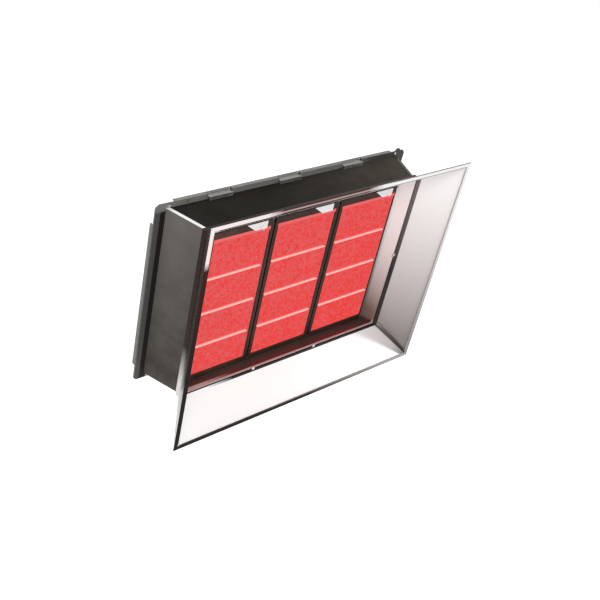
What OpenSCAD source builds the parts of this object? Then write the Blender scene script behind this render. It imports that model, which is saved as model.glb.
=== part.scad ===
// Gas infrared heater with three burners of four ceramic plates, a flared reflector hood and a wall bracket.
// Millimetres. X runs along the width, -Y is the way the heater faces, +Z is up.
// The origin is the middle of the wall bolts, on the face that lies against the wall.

/* [Ceramic plates] */
// Width of one ceramic plate
plate_w = 176; // [150:1:200]
// Height of one ceramic plate
plate_h = 93; // [80:1:100]
// Thickness of one ceramic plate
plate_t = 13; // [10:0.5:16]
// Joint left between two plates in a column
joint = 2; // [1.8:0.1:3]
// Plates in each column
rows = 4; // [3:1:4]
// Sheet thickness of the strips in the joints
strip_t = 1.6; // [1:0.1:1.7]
// How far a strip stands proud of the plates
strip_proud = 7; // [4:0.5:9]
// Length by which a strip stops short of the right edge
strip_short = 11; // [6:1:20]

/* [Burners] */
// Dark rim beside the plates
rim_side = 9; // [6:0.5:12]
// Dark rim above the plates
rim_top = 24; // [16:1:30]
// Dark rim below the plates
rim_bottom = 8; // [6:0.5:12]
// Overlap of the rim over the lowest plate
lap_bottom = 6; // [2:0.5:8]
// Overlap of the rim over the other edges
lap = 0.5; // [0.3:0.1:1]
// Gap between two burners
burner_gap = 4.5; // [3:0.5:8]
// Corner radius of the dark rims
bezel_r = 10; // [6:1:14]
// Sheet thickness of the dark rims
bezel_t = 2; // [1.5:0.5:3]
// Depth of a burner pan behind the plate face
pan_d = 40; // [34:1:46]
// Sheet thickness of a burner pan
pan_t = 1; // [0.8:0.1:1.5]
// How far the burners sit below the middle of the casing
burner_drop = 23; // [10:1:26]

/* [Casing and collar] */
// Casing and hood sheet thickness
sheet = 1.2; // [1:0.1:1.5]
// Play between the burners and the collar
collar_fit = 1.2; // [0.8:0.1:2]
// Rise of the collar's side walls towards the front
collar_flare = 14.8; // [8:0.2:20]
// Depth of the collar in front of the plate face
collar_d = 33; // [28:1:40]
// Depth of the collar behind the plate face
collar_back = 4; // [2:0.5:6]
// Width of the groove round the collar's front edge
groove_w = 6.5; // [4:0.5:8]
// Set of the casing's front edge outside the collar
casing_set = 3.4; // [2.6:0.1:4]
// Casing's front edge, in front of the plate face
casing_front = 20; // [16:1:24]
// Depth of the casing from front to rear edge
casing_d = 94; // [84:1:110]
// How much wider the casing grows towards the rear, each side
casing_flare_w = 31; // [10:1:36]
// How much taller the casing grows towards the rear, each side
casing_flare_h = 2.4; // [1:0.2:8]
// Width of the bright corner strips on the casing
strip_w = 8; // [5:0.5:12]

/* [Hood] */
// Depth of the flared hood panels
hood_d = 87.3; // [60:0.1:100]
// Width of the edge that is turned in round the rim
rim_lip = 10; // [6:1:14]
// Flare of the two side panels
hood_flare_w = 64; // [40:1:90]
// Flare of the top panel
hood_flare_top = 76.6; // [50:0.2:90]
// Flare of the bottom panel
hood_flare_bottom = 64.6; // [40:0.2:90]
// Width of a hook that holds the hood to the collar
hook_w = 8; // [5:1:14]

/* [Rear frame] */
// Frame beside the casing
frame_side = 27.6; // [24:0.2:34]
// Frame above and below the casing
frame_top = 13; // [12:0.5:18]
// Frame inside the casing's rear edge
frame_in = 14; // [10:1:20]
// Sheet thickness of the frame
frame_t = 2; // [1.5:0.5:3]
// Depth of the folds round the frame
fold_d = 8; // [6:1:12]
// Sheet thickness of the rear panel
panel_t = 1.5; // [1:0.5:2]
// Width of a tab that hooks over the frame
tab_w = 64; // [40:1:80]
// How far the tabs reach in front of the frame
tab_reach = 8; // [5:0.5:12]
// Sideways shift of the tabs from the burners
tab_shift = -10; // [-20:1:20]

/* [Wall bracket] */
// Distance from the plate face to the wall
wall_reach = 300; // [290:1:340]
// Distance from the plate face to the tilt axis
pivot_y = 125; // [120:1:135]
// Height of the tilt axis above the middle of the casing
pivot_z = 10; // [5:1:20]
// Height of the wall plate
wall_h = 84; // [80:1:90]
// Thickness of the bracket steel
bracket_t = 4; // [3:0.5:5]
// Spacing of the wall holes along the width
bolt_x = 160; // [120:2:170]
// Spacing of the wall holes up the height
bolt_z = 54; // [40:1:60]
// Diameter of the wall holes
bolt_d = 9; // [7:0.5:11]
// Diameter of the pivot bolts
pivot_d = 10; // [8:0.5:12]

/* [Gas line] */
// Height of the gas line below the middle of the casing
line_drop = 120; // [110:1:130]
// Distance from the plate face to the gas line
line_y = 160; // [156:1:164]
// Outside diameter of the gas rail
rail_d = 22; // [18:1:24]
// Inside diameter of the gas rail
rail_bore = 17; // [12:0.5:17.5]
// Inside diameter of a mixing tube at its throat
throat_d = 26; // [20:1:30]
// Bore of an injector's jet
jet_d = 1.8; // [1:0.1:2.5]
// Diameter of the thread at the gas inlet
inlet_d = 20.6; // [16:0.2:22]
// Length of the thread at the gas inlet
inlet_l = 16; // [12:1:16]
// Lift of the valve plunger
valve_lift = 3; // [2:0.5:3.5]
// Length of the tap lever
lever_l = 60; // [50:1:66]

/* [Control box] */
// Width of the control box
box_w = 140; // [120:1:150]
// Height of the control box
box_h = 100; // [90:1:104]
// Depth of the control box
box_d = 54; // [50:1:56]
// Wall of the control box
box_wall = 2.5; // [2:0.5:3]
// Diameter of the reset button
button_d = 12; // [8:0.5:14]
// Travel of the reset button
button_travel = 3; // [2:0.5:4]
// Bore of the cable gland
gland_bore = 8; // [6:0.5:9]

/* [Fits] */
// Running clearance of a shaft in its bore, on the radius
run_fit = 0.06; // [0.03:0.01:0.09]
// Clearance between pieces that move past each other
move_gap = 0.3; // [0.3:0.05:0.5]
// Clearance between fixed pieces laid side by side
set_gap = 0.2; // [0.1:0.05:0.3]

/* [Hidden] */
$fn = 48;

// Overrun of every cut
over = 1;
// Share that puts a value in the middle of two others
half_share = 0.5;

// Burner sizes, with the burner's own middle as zero
stack_h = rows * plate_h + (rows - 1) * joint;
pitch_z = plate_h + joint;
window_w = plate_w - 2 * lap;
bezel_w = window_w + 2 * rim_side;
bezel_top = stack_h / 2 + rim_top;
bezel_bottom = -stack_h / 2 - rim_bottom;
pitch_x = bezel_w + burner_gap;
pan_w = bezel_w - 2 * pan_t;
pan_top = bezel_top - pan_t;
pan_bottom = bezel_bottom + pan_t;
burner_x = [-pitch_x, 0, pitch_x];

// Collar, casing, hood and frame, with the middle of the casing as zero
collar_rear_w = pitch_x + bezel_w / 2 + collar_fit;
collar_rear_top = bezel_top - burner_drop + collar_fit;
collar_low = burner_drop - bezel_bottom + collar_fit;
collar_w = collar_rear_w + collar_flare;
groove_y = -casing_front - sheet;
casing_w = collar_w + casing_set;
casing_h = collar_low + casing_set;
casing_rear = casing_d - casing_front;
casing_rear_w = casing_w + casing_flare_w;
casing_rear_h = casing_h + casing_flare_h;
hood_w = collar_w + groove_w + sheet;
hood_h = collar_low + groove_w + sheet;
rim_y = -collar_d - hood_d;
rim_w = hood_w + hood_flare_w;
rim_up = hood_h + hood_flare_top;
rim_down = hood_h + hood_flare_bottom;
frame_w = casing_rear_w + frame_side;
frame_h = casing_rear_h + frame_top;
panel_y = casing_rear + frame_t;
back_y = panel_y + panel_t;

// Half width and half height of the casing's outside at a depth y
function casing_half_w(y) = casing_w + casing_flare_w * (y + casing_front) / casing_d;
function casing_half_h(y) = casing_h + casing_flare_h * (y + casing_front) / casing_d;

// Tabs of the rear panel and the notches that they pass
tab_drop = 4;
tab_top = frame_h - tab_drop;
tab_play = 1;
tab_low = casing_rear_h + move_gap;

// Folds of the frame and small fasteners
fold_end = 48;
fold_out = 1.5;
fold_cut = 5;
corner_cut = 8;
ear_r = 9;
ear_in = 26;
ear_x = frame_w - ear_in;
screw_in = 7.4;
screw_x = casing_rear_w - screw_in;
screw_z = frame_h - frame_top / 2;
screw_head_r = 3.6;
screw_head_t = 2.2;
screw_r = 2;
screw_l = 6;
notch_in = 54;
notch_x = casing_rear_w - notch_in;
notch_w = 5;
notch_h = 8;

// Tilt bracket
pivot_r = pivot_d / 2;
pivot_x = pitch_x / 2;
ear_t = 3;
pivot_pad_r = 16;
washer_t = 1.5;
washer_r = 12;
arm_x = pivot_x + ear_t / 2 + washer_t + move_gap;
bolt_head_t = 6;
bolt_head_r = 9;
nut_t = 8;
nut_r = 9;
wall_z = -wall_h / 2;
wall_w = 2 * (arm_x + bracket_t);
bar_h = 60;
bar_d = 15;
bar_t = 2;
bar_w = frame_w - fold_d;
bar_y = back_y;

// Mixing tube, from the pan back to its bell mouth
venturi_wall = 2;
venturi_l = 88;
venturi_flange_t = 2;
venturi_flange_r = 31;
outlet_r = 21;
throat_r = throat_d / 2;
throat_share = 0.68;
bell_share = 0.86;
bell_r = 24;
bell_neck_r = 16;
air_hole_r = 32;

// Gas rail, injectors and saddles
line_z = -line_drop;
rail_r = rail_d / 2;
rail_over_left = 24;
rail_over_right = 30;
rail_left = pitch_x + rail_over_left;
rail_right = pitch_x + rail_over_right;
boss_r = 9;
boss_out = 5;
boss_bore_r = 4;
injector_hex_r = 8;
injector_hex_l = 8;
injector_tip_r = 4;
injector_tip_l = 6;
injector_tail_l = 6;
injector_bore_r = 2.4;
injector_skin = 2;
plug_l = 14;
plug_head = 8;
saddle_w = 16;
saddle_h = 32;
saddle_x = 58;

// Valve, with its own middle on the gas line
valve_run = 42;
valve_x = rail_right + valve_run;
valve_w = 64;
valve_deep = 52;
valve_up = 24;
valve_down = 26;
union_l = 16;
union_r = 17;
port_r = 8;
port_l = 12;
way_r = 5;
way_in_up = 7;
way_out_down = 6;
chamber_r = 9.2;
seat_r = 4.5;
seat_up = 2;
tube_r = 8;
tube_wall = 1.9;
tube_flange_r = 12;
tube_flange_t = 2;
tube_l = 58;
tube_cap = 9;
coil_r = 21;
coil_l = 44;
yoke_t = 2;
yoke_w = 46;
coil_nut_r = 11;
coil_nut_t = 5;
plunger_r = tube_r - tube_wall - run_fit;
seal_t = 4;
seal_r = 7.5;
plunger_l = 40;
spring_wire = 0.9;
spring_turns = 6;
spring_sides = 6;
spring_steps = 8;

// Tap, beside the valve on the gas line
tap_run = 20;
tap_x = valve_x + valve_w / 2 + tap_run;
tap_r = 19;
tap_front = 20;
tap_back = 16;
tap_hex_l = 12;
tap_hex_r = 17;
tap_bore_r = 7.5;
ball_r = 14;
stem_r = 4;
stem_boss_r = 9;
stem_boss_l = 30;
stem_l = 40;
lever_y = 32;
lever_t = 3;
lever_w = 14;
lever_hub_r = 9;
tap_nut_t = 4;
tap_nut_r = 6.5;

// Control box, in the upper left of the back
box_x = -220;
box_over_bar = 12;
box_low = pivot_z + bar_h / 2 + box_over_bar;
box_mid = box_low + box_h / 2;
button_x = 40;
button_y = 27;
button_out = 7;
button_flange_r = button_d / 2 + 2;
button_flange_t = 2;
button_spring_l = 15;
button_spring_r = 4;
button_spring_wire = 0.8;
button_top = 3;
board_t = 1.6;
board_margin = 10;
board_post = 8;
board_post_r = 3;
shelf_w = 22;
shelf_t = 3;
gland_x = -45;
gland_r = 10;
gland_l = 14;
gland_in = 6;
lid_lip = 6;

// Electrodes in the two outer burners
electrode_x = 60;
electrode_up = 14;
electrode_z = stack_h / 2 + electrode_up;
insulator_r = 4.5;
insulator_out = 3;
insulator_back = 18;
insulator_collar_r = 8;
insulator_collar_t = 3;
rod_r = 1.3;
rod_reach = 4;
rod_down = 8;
terminal_l = 8;

// Clips on the burner rims
clip_t = 1;
clip_left_low = 44;
clip_left_top = 18;
clip_right = 76;
clip_low = 5;
clip_high = 24;

// Baffle plates and rails behind the burners
baffle_y = 26;
baffle_hole_r = 8;
baffle_cols = 4;
baffle_rows = 8;
ledge_w = 5;
ledge_t = 1.2;
gasket_w = min(rim_side - lap, rim_bottom) - 2 * pan_t - set_gap;
burner_rail_h = 22;
burner_rail_t = 3;
burner_rail_z = 150;
seat_in = 0.3;

// Joint and groove hooks of the hood
hook_in = 2;

// Places a piece that is drawn in the heater's own frame: zero at the plate face, in the middle of the casing
module placed() {
    translate([0, -wall_reach, -wall_z]) children();
}

// Places a piece that is drawn in a burner's own frame
module at_burner(i) {
    placed() translate([burner_x[i], 0, -burner_drop]) children();
}

// Turns a piece drawn along +Z so that it runs along +Y
module along_y() {
    rotate([-90, 0, 0]) children();
}

// Turns a piece drawn along +Z so that it runs along +X
module along_x() {
    rotate([0, 90, 0]) children();
}

// Block that is centred across and up, and runs back from y
module slab(w, d, h, y) {
    translate([-w / 2, y, -h / 2]) cube([w, d, h]);
}

// Block given by its two opposite corners
module block(a, b) {
    translate(a) cube(b - a);
}

// Corners of a rectangle that stands across y: top left, top right, bottom right, bottom left
function corners(s, inset) = [
    [-s[1] + inset, s[0], s[2] - inset],
    [s[1] - inset, s[0], s[2] - inset],
    [s[1] - inset, s[0], s[3] + inset],
    [-s[1] + inset, s[0], s[3] + inset]];

// One wall of a flared ring: side 0 is the top, 1 the right, 2 the bottom and 3 the left.
// Each station is [depth, half width, top, bottom] of the outside, listed from the rear to the front.
module ring_wall(stations, side, t) {
    count = len(stations);
    next = (side + 1) % 4;
    points = [for (s = stations)
        each [corners(s, 0)[side], corners(s, 0)[next], corners(s, t)[next], corners(s, t)[side]]];
    sides = [for (j = [0 : count - 2], k = [0 : 3])
        [4 * j + k, 4 * j + (k + 1) % 4, 4 * (j + 1) + (k + 1) % 4, 4 * (j + 1) + k]];
    last = 4 * (count - 1);
    polyhedron(points, concat([[3, 2, 1, 0]], sides, [[last, last + 1, last + 2, last + 3]]));
}

// Bar between two outlines of four points
module bar_between(a, b) {
    sides = [for (k = [0 : 3]) [k, (k + 1) % 4, 4 + (k + 1) % 4, 4 + k]];
    polyhedron(concat(a, b), concat([[3, 2, 1, 0]], sides, [[4, 5, 6, 7]]));
}

// Sheet with round corners that stands across y, from z low to z high
module round_sheet(w, low, high, r, t) {
    along_y() linear_extrude(t) {
        translate([-w / 2 + r, -high]) square([w - 2 * r, high - low]);
        translate([-w / 2, -high + r]) square([w, high - low - 2 * r]);
        for (x = [-w / 2 + r, w / 2 - r], z = [-high + r, -low - r])
            translate([x, z]) circle(r);
    }
}

// Open spring along Z: one round wire that climbs steadily
module coil_spring(r, l, wire, turns) {
    rings = turns * spring_steps;
    rise = l - 2 * wire;
    function point(i, k) = let (
        a = 360 * i / spring_steps,
        b = 360 * k / spring_sides,
        reach = r + wire * cos(b) / 2)
        [reach * cos(a), reach * sin(a), wire + rise * i / rings + wire * sin(b) / 2];
    points = [for (i = [0 : rings], k = [0 : spring_sides - 1]) point(i, k)];
    walls = [for (i = [0 : rings - 1], k = [0 : spring_sides - 1])
        each [
            [spring_sides * i + k, spring_sides * (i + 1) + k, spring_sides * i + (k + 1) % spring_sides],
            [spring_sides * (i + 1) + k, spring_sides * (i + 1) + (k + 1) % spring_sides,
                spring_sides * i + (k + 1) % spring_sides]]];
    first_cap = [for (k = [0 : spring_sides - 1]) k];
    last_cap = [for (k = [spring_sides - 1 : -1 : 0]) spring_sides * rings + k];
    polyhedron(points, concat([first_cap], walls, [last_cap]));
}

// Stations of the casing, the collar and the hood
casing_stations = [
    [casing_rear, casing_rear_w, casing_rear_h, -casing_rear_h],
    [-casing_front, casing_w, casing_h, -casing_h]];
collar_stations = [
    [collar_back, collar_rear_w + sheet, collar_rear_top + sheet, -collar_low - sheet],
    [-collar_d, collar_w + sheet, collar_low + sheet, -collar_low - sheet]];
hood_stations = [
    [-casing_front - set_gap, hood_w, hood_h, -hood_h],
    [-collar_d, hood_w, hood_h, -hood_h],
    [rim_y, rim_w, rim_up, -rim_down]];
rim_stations = [
    [rim_y, rim_w, rim_up, -rim_down],
    [rim_y - sheet, rim_w, rim_up, -rim_down]];

// Wall plate with two arms that carry the pivot bolts
module arm_outline() {
    difference() {
        union() {
            translate([pivot_y, pivot_z]) circle(pivot_pad_r);
            polygon([
                [pivot_y, pivot_z + pivot_pad_r],
                [wall_reach - bracket_t, 0],
                [wall_reach - bracket_t, -wall_h],
                [pivot_y, pivot_z - pivot_pad_r]]);
        }
        translate([pivot_y, pivot_z]) circle(pivot_r + run_fit);
    }
}

module wall_bracket() {
    color("#3a3a3a") placed() {
        difference() {
            block([-wall_w / 2, wall_reach - bracket_t, -wall_h], [wall_w / 2, wall_reach, 0]);
            for (x = [-bolt_x / 2, bolt_x / 2], z = [-bolt_z / 2, bolt_z / 2])
                translate([x, wall_reach - bracket_t - over, wall_z + z])
                    along_y() cylinder(d = bolt_d, h = bracket_t + 2 * over);
        }
        for (side = [-1, 1])
            translate([side * (arm_x + bracket_t / 2) - bracket_t / 2, 0, 0])
                rotate([90, 0, 90]) linear_extrude(bracket_t) arm_outline();
    }
}

module pivot_bolts() {
    inside = pivot_x - ear_t / 2 - move_gap - nut_t;
    color("silver") placed()
        for (side = [0, 1])
            mirror([side, 0, 0]) translate([0, pivot_y, pivot_z]) along_x() {
                translate([0, 0, inside]) cylinder(r = pivot_r, h = arm_x + bracket_t - inside);
                translate([0, 0, arm_x + bracket_t]) cylinder(r = bolt_head_r, h = bolt_head_t, $fn = 6);
            }
}

module pivot_nuts() {
    color("silver") placed()
        for (side = [0, 1])
            mirror([side, 0, 0])
                translate([pivot_x - ear_t / 2 - move_gap - nut_t, pivot_y, pivot_z]) along_x()
                    difference() {
                        cylinder(r = nut_r, h = nut_t, $fn = 6);
                        translate([0, 0, -over]) cylinder(r = pivot_r + run_fit, h = nut_t + 2 * over);
                    }
}

module pivot_washers() {
    color("dimgray") placed()
        for (side = [0, 1])
            mirror([side, 0, 0]) translate([pivot_x + ear_t / 2, pivot_y, pivot_z]) along_x()
                difference() {
                    cylinder(r = washer_r, h = washer_t);
                    translate([0, 0, -over]) cylinder(r = pivot_r + run_fit, h = washer_t + 2 * over);
                }
}

// Channel across the back that carries the two ears
module support_rail() {
    color("#8f8f8c") placed() translate([0, 0, pivot_z])
        difference() {
            slab(2 * bar_w, bar_d, bar_h, bar_y);
            slab(2 * bar_w + 2 * over, bar_d, bar_h - 2 * bar_t, bar_y + bar_t);
        }
}

module ear_outline() {
    inner_h = bar_h - 2 * bar_t - 2 * set_gap;
    difference() {
        union() {
            translate([pivot_y, pivot_z]) circle(pivot_pad_r);
            polygon([
                [bar_y + bar_t, pivot_z + inner_h / 2],
                [bar_y + bar_d, pivot_z + inner_h / 2],
                [pivot_y, pivot_z + pivot_pad_r],
                [pivot_y, pivot_z - pivot_pad_r],
                [bar_y + bar_d, pivot_z - inner_h / 2],
                [bar_y + bar_t, pivot_z - inner_h / 2]]);
        }
        translate([pivot_y, pivot_z]) circle(pivot_r + run_fit);
    }
}

module pivot_ears() {
    color("#8f8f8c") placed()
        for (side = [-1, 1])
            translate([side * pivot_x - ear_t / 2, 0, 0])
                rotate([90, 0, 90]) linear_extrude(ear_t) ear_outline();
}

// Cutters that take off a plate's four corners
module corner_cutters(w, h, y, depth) {
    for (side = [-1, 1], level = [-1, 1])
        translate([side * w, y - over, level * h])
            along_y() linear_extrude(depth + 2 * over)
                polygon([[corner_cut, 0], [0, corner_cut], [-corner_cut, 0], [0, -corner_cut]]);
}

// Frame round the casing's rear edge, with folds, tab notches and fastener holes
module rear_frame() {
    fold_up = frame_h - fold_end;
    color("#7d7b77") placed()
        difference() {
            union() {
                slab(2 * frame_w, frame_t, 2 * frame_h, casing_rear);
                for (side = [-1, 1])
                    translate([side * (frame_w + fold_out / 2 - frame_t / 2), 0, 0])
                        slab(frame_t + fold_out, frame_t + fold_d, 2 * fold_up, casing_rear);
                for (side = [-1, 1])
                    translate([0, 0, side * (frame_h - frame_t / 2)])
                        slab(2 * (frame_w - fold_end), frame_t + fold_d, frame_t, casing_rear);
                translate([ear_x, casing_rear, frame_h - frame_t])
                    along_y() cylinder(r = ear_r, h = frame_t);
            }
            slab(2 * (casing_rear_w - frame_in), frame_t + 2 * over, 2 * (casing_rear_h - frame_in),
                casing_rear - over);
            corner_cutters(frame_w, frame_h, casing_rear, frame_t);
            for (x = burner_x)
                block(
                    [x + tab_shift - tab_w / 2 - tab_play, casing_rear - over, tab_top - panel_t - set_gap],
                    [x + tab_shift + tab_w / 2 + tab_play, panel_y + fold_cut, frame_h + over]);
            for (x = [-screw_x, screw_x], z = [-screw_z, screw_z])
                translate([x, casing_rear - over, z])
                    along_y() cylinder(r = screw_r, h = frame_t + 2 * over);
            block(
                [-notch_x - notch_w / 2, casing_rear - over, casing_rear_h],
                [-notch_x + notch_w / 2, panel_y + over, casing_rear_h + notch_h]);
        }
}

// Panel that closes the back, with tabs hooked over the frame and holes for the mixing tubes and leads
module rear_panel() {
    edge = frame_w - frame_t - set_gap;
    color("#9a9a96") placed() {
        difference() {
            block([-edge, panel_y, -frame_h + frame_t + set_gap], [edge, back_y, tab_top - panel_t]);
            for (x = burner_x)
                translate([x, panel_y - over, line_z])
                    along_y() cylinder(r = air_hole_r, h = panel_t + 2 * over);
            for (x = [-screw_x, screw_x], z = [-screw_z, screw_z])
                translate([x, panel_y - over, z])
                    along_y() cylinder(r = screw_r, h = panel_t + 2 * over);
            corner_cutters(frame_w, frame_h, panel_y, panel_t);
        }
        for (x = burner_x) {
            left = x + tab_shift - tab_w / 2;
            block([left, casing_rear - tab_reach, tab_top - panel_t], [left + tab_w, panel_y + fold_d, tab_top]);
            block([left, casing_rear - tab_reach, tab_low],
                [left + tab_w, casing_rear - tab_reach + panel_t, tab_top]);
        }
    }
}

module frame_screws() {
    color("gainsboro") placed()
        for (x = [-screw_x, screw_x], z = [-screw_z, screw_z])
            translate([x, casing_rear, z]) along_y() {
                translate([0, 0, -screw_head_t]) cylinder(r1 = screw_r, r2 = screw_head_r, h = screw_head_t);
                cylinder(r = screw_r, h = screw_l);
            }
}

module housing_top() {
    color("#2a2723") placed() ring_wall(casing_stations, 0, sheet);
}

module housing_right() {
    color("#66625d") placed() ring_wall(casing_stations, 1, sheet);
}

module housing_bottom() {
    color("#4a4743") placed() ring_wall(casing_stations, 2, sheet);
}

module housing_left() {
    color("#66625d") placed() ring_wall(casing_stations, 3, sheet);
}

// Bright strips folded over the casing's two upper corners
module edge_strips() {
    function outline(s) = [
        [-s[1], s[0], s[2] + sheet],
        [-s[1] + strip_w, s[0], s[2] + sheet],
        [-s[1] + strip_w, s[0], s[2]],
        [-s[1], s[0], s[2]]];
    color("white") placed()
        for (side = [0, 1])
            mirror([side, 0, 0])
                bar_between(outline(casing_stations[0]), outline(casing_stations[1]));
}

// Polished collar round the burners, with the groove floor that meets the casing's front edge
module inner_collar() {
    floor_w = hood_w - sheet - set_gap;
    floor_h = hood_h - sheet - set_gap;
    at_floor = (collar_back - groove_y) / (collar_back + collar_d);
    inner_w = collar_rear_w + collar_flare * at_floor;
    inner_top = collar_rear_top + (collar_low - collar_rear_top) * at_floor;
    color("#d8d2cc") placed() {
        for (side = [0 : 3])
            ring_wall(collar_stations, side, sheet);
        difference() {
            slab(2 * floor_w, sheet, 2 * floor_h, groove_y);
            block([-inner_w, groove_y - over, -collar_low], [inner_w, groove_y + sheet + over, inner_top]);
        }
    }
}

// A hook that bridges the groove from a hood panel to the collar's front edge
module hook() {
    reach = groove_w + sheet + hook_in;
    block([-reach, -collar_d - sheet, -hook_w / 2], [0, -collar_d, hook_w / 2]);
}

module hood_top() {
    color("#ece8e4") placed() {
        ring_wall(hood_stations, 0, sheet);
        ring_wall(rim_stations, 0, rim_lip);
        for (x = [-pivot_x, pivot_x])
            translate([x, 0, hood_h]) rotate([0, -90, 0]) hook();
    }
}

module hood_right() {
    color("#c9c4c0") placed() {
        ring_wall(hood_stations, 1, sheet);
        ring_wall(rim_stations, 1, rim_lip);
        translate([hood_w, 0, 0]) hook();
    }
}

module hood_bottom() {
    color("#f4f1ee") placed() {
        ring_wall(hood_stations, 2, sheet);
        ring_wall(rim_stations, 2, rim_lip);
        for (x = [-pivot_x, pivot_x])
            translate([x, 0, -hood_h]) rotate([0, 90, 0]) hook();
    }
}

module hood_left() {
    color("#c9c4c0") placed() {
        ring_wall(hood_stations, 3, sheet);
        ring_wall(rim_stations, 3, rim_lip);
        translate([-hood_w, 0, 0]) rotate([0, 180, 0]) hook();
    }
}

// Sheet metal pan behind one burner's plates, with the ledge that they lie on
module burner_pan(i) {
    color("#4d4540") at_burner(i)
        difference() {
            block([-pan_w / 2, 0, pan_bottom], [pan_w / 2, pan_d, pan_top]);
            block(
                [-pan_w / 2 + pan_t, -over, pan_bottom + pan_t],
                [pan_w / 2 - pan_t, plate_t, pan_top - pan_t]);
            slab(plate_w - 2 * ledge_w, pan_d, stack_h - 2 * ledge_w, -over);
            block(
                [-pan_w / 2 + pan_t, plate_t + ledge_t, pan_bottom + pan_t],
                [pan_w / 2 - pan_t, pan_d - pan_t, pan_top - pan_t]);
            translate([0, pan_d - pan_t - over, burner_drop + line_z])
                along_y() cylinder(r = outlet_r, h = pan_t + 2 * over);
            electrode_hole(i);
        }
}

// Dark rim in front of one burner's plates
module bezel(i) {
    window_top = stack_h / 2 - lap;
    window_bottom = -stack_h / 2 + lap_bottom;
    color("#3d2f2b") at_burner(i)
        difference() {
            translate([0, -bezel_t, 0]) round_sheet(bezel_w, bezel_bottom, bezel_top, bezel_r, bezel_t);
            block(
                [-window_w / 2, -bezel_t - over, window_bottom],
                [window_w / 2, over, window_top]);
            electrode_hole(i);
        }
}

// The ceramic plates of one burner
module plates(i) {
    color("#e45055") at_burner(i)
        for (k = [0 : rows - 1])
            translate([0, 0, (k - (rows - 1) / 2) * pitch_z])
                slab(plate_w, plate_t, plate_h, 0);
}

// Bright strips in the joints between the plates
module joint_strips() {
    for (i = [0 : 2])
        color("#ffa8a0") at_burner(i)
            for (k = [1 : rows - 1])
                translate([0, 0, (k - rows / 2) * pitch_z])
                    block(
                        [-window_w / 2 + set_gap, -strip_proud, -strip_t / 2],
                        [window_w / 2 - strip_short, plate_t, strip_t / 2]);
}

// Fibre gasket round the plates in each pan
module plate_gaskets() {
    for (i = [0 : 2])
        color("#d9d4c8") at_burner(i)
            difference() {
                slab(plate_w + 2 * gasket_w, plate_t, stack_h + 2 * gasket_w, 0);
                slab(plate_w + 2 * set_gap, plate_t + 2 * over, stack_h + 2 * set_gap, -over);
            }
}

// Slanted bright clips on the upper right of each dark rim
module burner_clips() {
    clip_z = stack_h / 2;
    for (i = [0 : 2])
        color("white") at_burner(i)
            difference() {
                translate([0, -bezel_t - clip_t, 0]) along_y() linear_extrude(clip_t)
                    polygon([
                        [clip_left_low, -clip_z - clip_low],
                        [clip_right, -clip_z - clip_low],
                        [clip_right, -clip_z - clip_high],
                        [clip_left_top, -clip_z - clip_high]]);
                electrode_hole(i);
            }
}

// Perforated plate that spreads the gas in each pan
module baffle_plates() {
    w = pan_w - 2 * pan_t - 2 * set_gap;
    low = pan_bottom + pan_t + set_gap;
    high = pan_top - pan_t - set_gap;
    for (i = [0 : 2])
        color("#77736e") at_burner(i)
            difference() {
                block([-w / 2, baffle_y, low], [w / 2, baffle_y + pan_t, high]);
                for (c = [0 : baffle_cols - 1], r = [0 : baffle_rows - 1])
                    translate([
                        (c + half_share) * w / baffle_cols - w / 2,
                        baffle_y - over,
                        low + (r + half_share) * (high - low) / baffle_rows])
                        along_y() cylinder(r = baffle_hole_r, h = pan_t + 2 * over);
                electrode_hole(i);
            }
}

// Two bars across the casing that carry the pans
module burner_rails() {
    w = casing_half_w(pan_d) - sheet + seat_in;
    color("#77736e") placed()
        for (z = [-burner_rail_z, burner_rail_z])
            translate([0, 0, z - burner_drop]) slab(2 * w, burner_rail_t, burner_rail_h, pan_d);
}

// Mixing tubes: bell mouth, throat and diffuser, each with its flange on the pan
module venturi_tubes() {
    throat_at = venturi_l * throat_share;
    bell_at = venturi_l * bell_share;
    color("#a8a6a0")
        for (i = [0 : 2])
            at_burner(i) translate([0, pan_d, burner_drop + line_z]) along_y() rotate_extrude()
                polygon([
                    [outlet_r, 0],
                    [venturi_flange_r, 0],
                    [venturi_flange_r, venturi_flange_t],
                    [outlet_r + venturi_wall, venturi_flange_t],
                    [throat_r + venturi_wall, throat_at],
                    [bell_neck_r + venturi_wall, bell_at],
                    [bell_r + venturi_wall, venturi_l],
                    [bell_r, venturi_l],
                    [bell_neck_r, bell_at],
                    [throat_r, throat_at]]);
}

// Brass injectors screwed into the gas rail
module injectors() {
    face = line_y - rail_r - boss_out;
    color("goldenrod")
        for (x = burner_x)
            placed() translate([x, face, line_z]) rotate([90, 0, 0])
                difference() {
                    union() {
                        translate([0, 0, -injector_tail_l]) cylinder(r = boss_bore_r, h = injector_tail_l);
                        cylinder(r = injector_hex_r, h = injector_hex_l, $fn = 6);
                        translate([0, 0, injector_hex_l]) cylinder(r = injector_tip_r, h = injector_tip_l);
                    }
                    translate([0, 0, -injector_tail_l - over])
                        cylinder(
                            r = injector_bore_r,
                            h = injector_tail_l + injector_hex_l + injector_tip_l - injector_skin + over);
                    cylinder(d = jet_d, h = injector_hex_l + injector_tip_l + over);
                }
}

// Gas rail with a boss for each injector
module gas_rail() {
    color("#b0aca4") placed()
        difference() {
            union() {
                translate([-rail_left, line_y, line_z]) along_x() cylinder(r = rail_r, h = rail_left + rail_right);
                for (x = burner_x)
                    translate([x, line_y, line_z])
                        rotate([90, 0, 0]) cylinder(r = boss_r, h = rail_r + boss_out);
            }
            translate([-rail_left - over, line_y, line_z]) along_x()
                cylinder(d = rail_bore, h = rail_left + rail_right + 2 * over);
            for (x = burner_x)
                translate([x, line_y, line_z])
                    rotate([90, 0, 0]) cylinder(r = boss_bore_r, h = rail_r + boss_out + over);
        }
}

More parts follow.
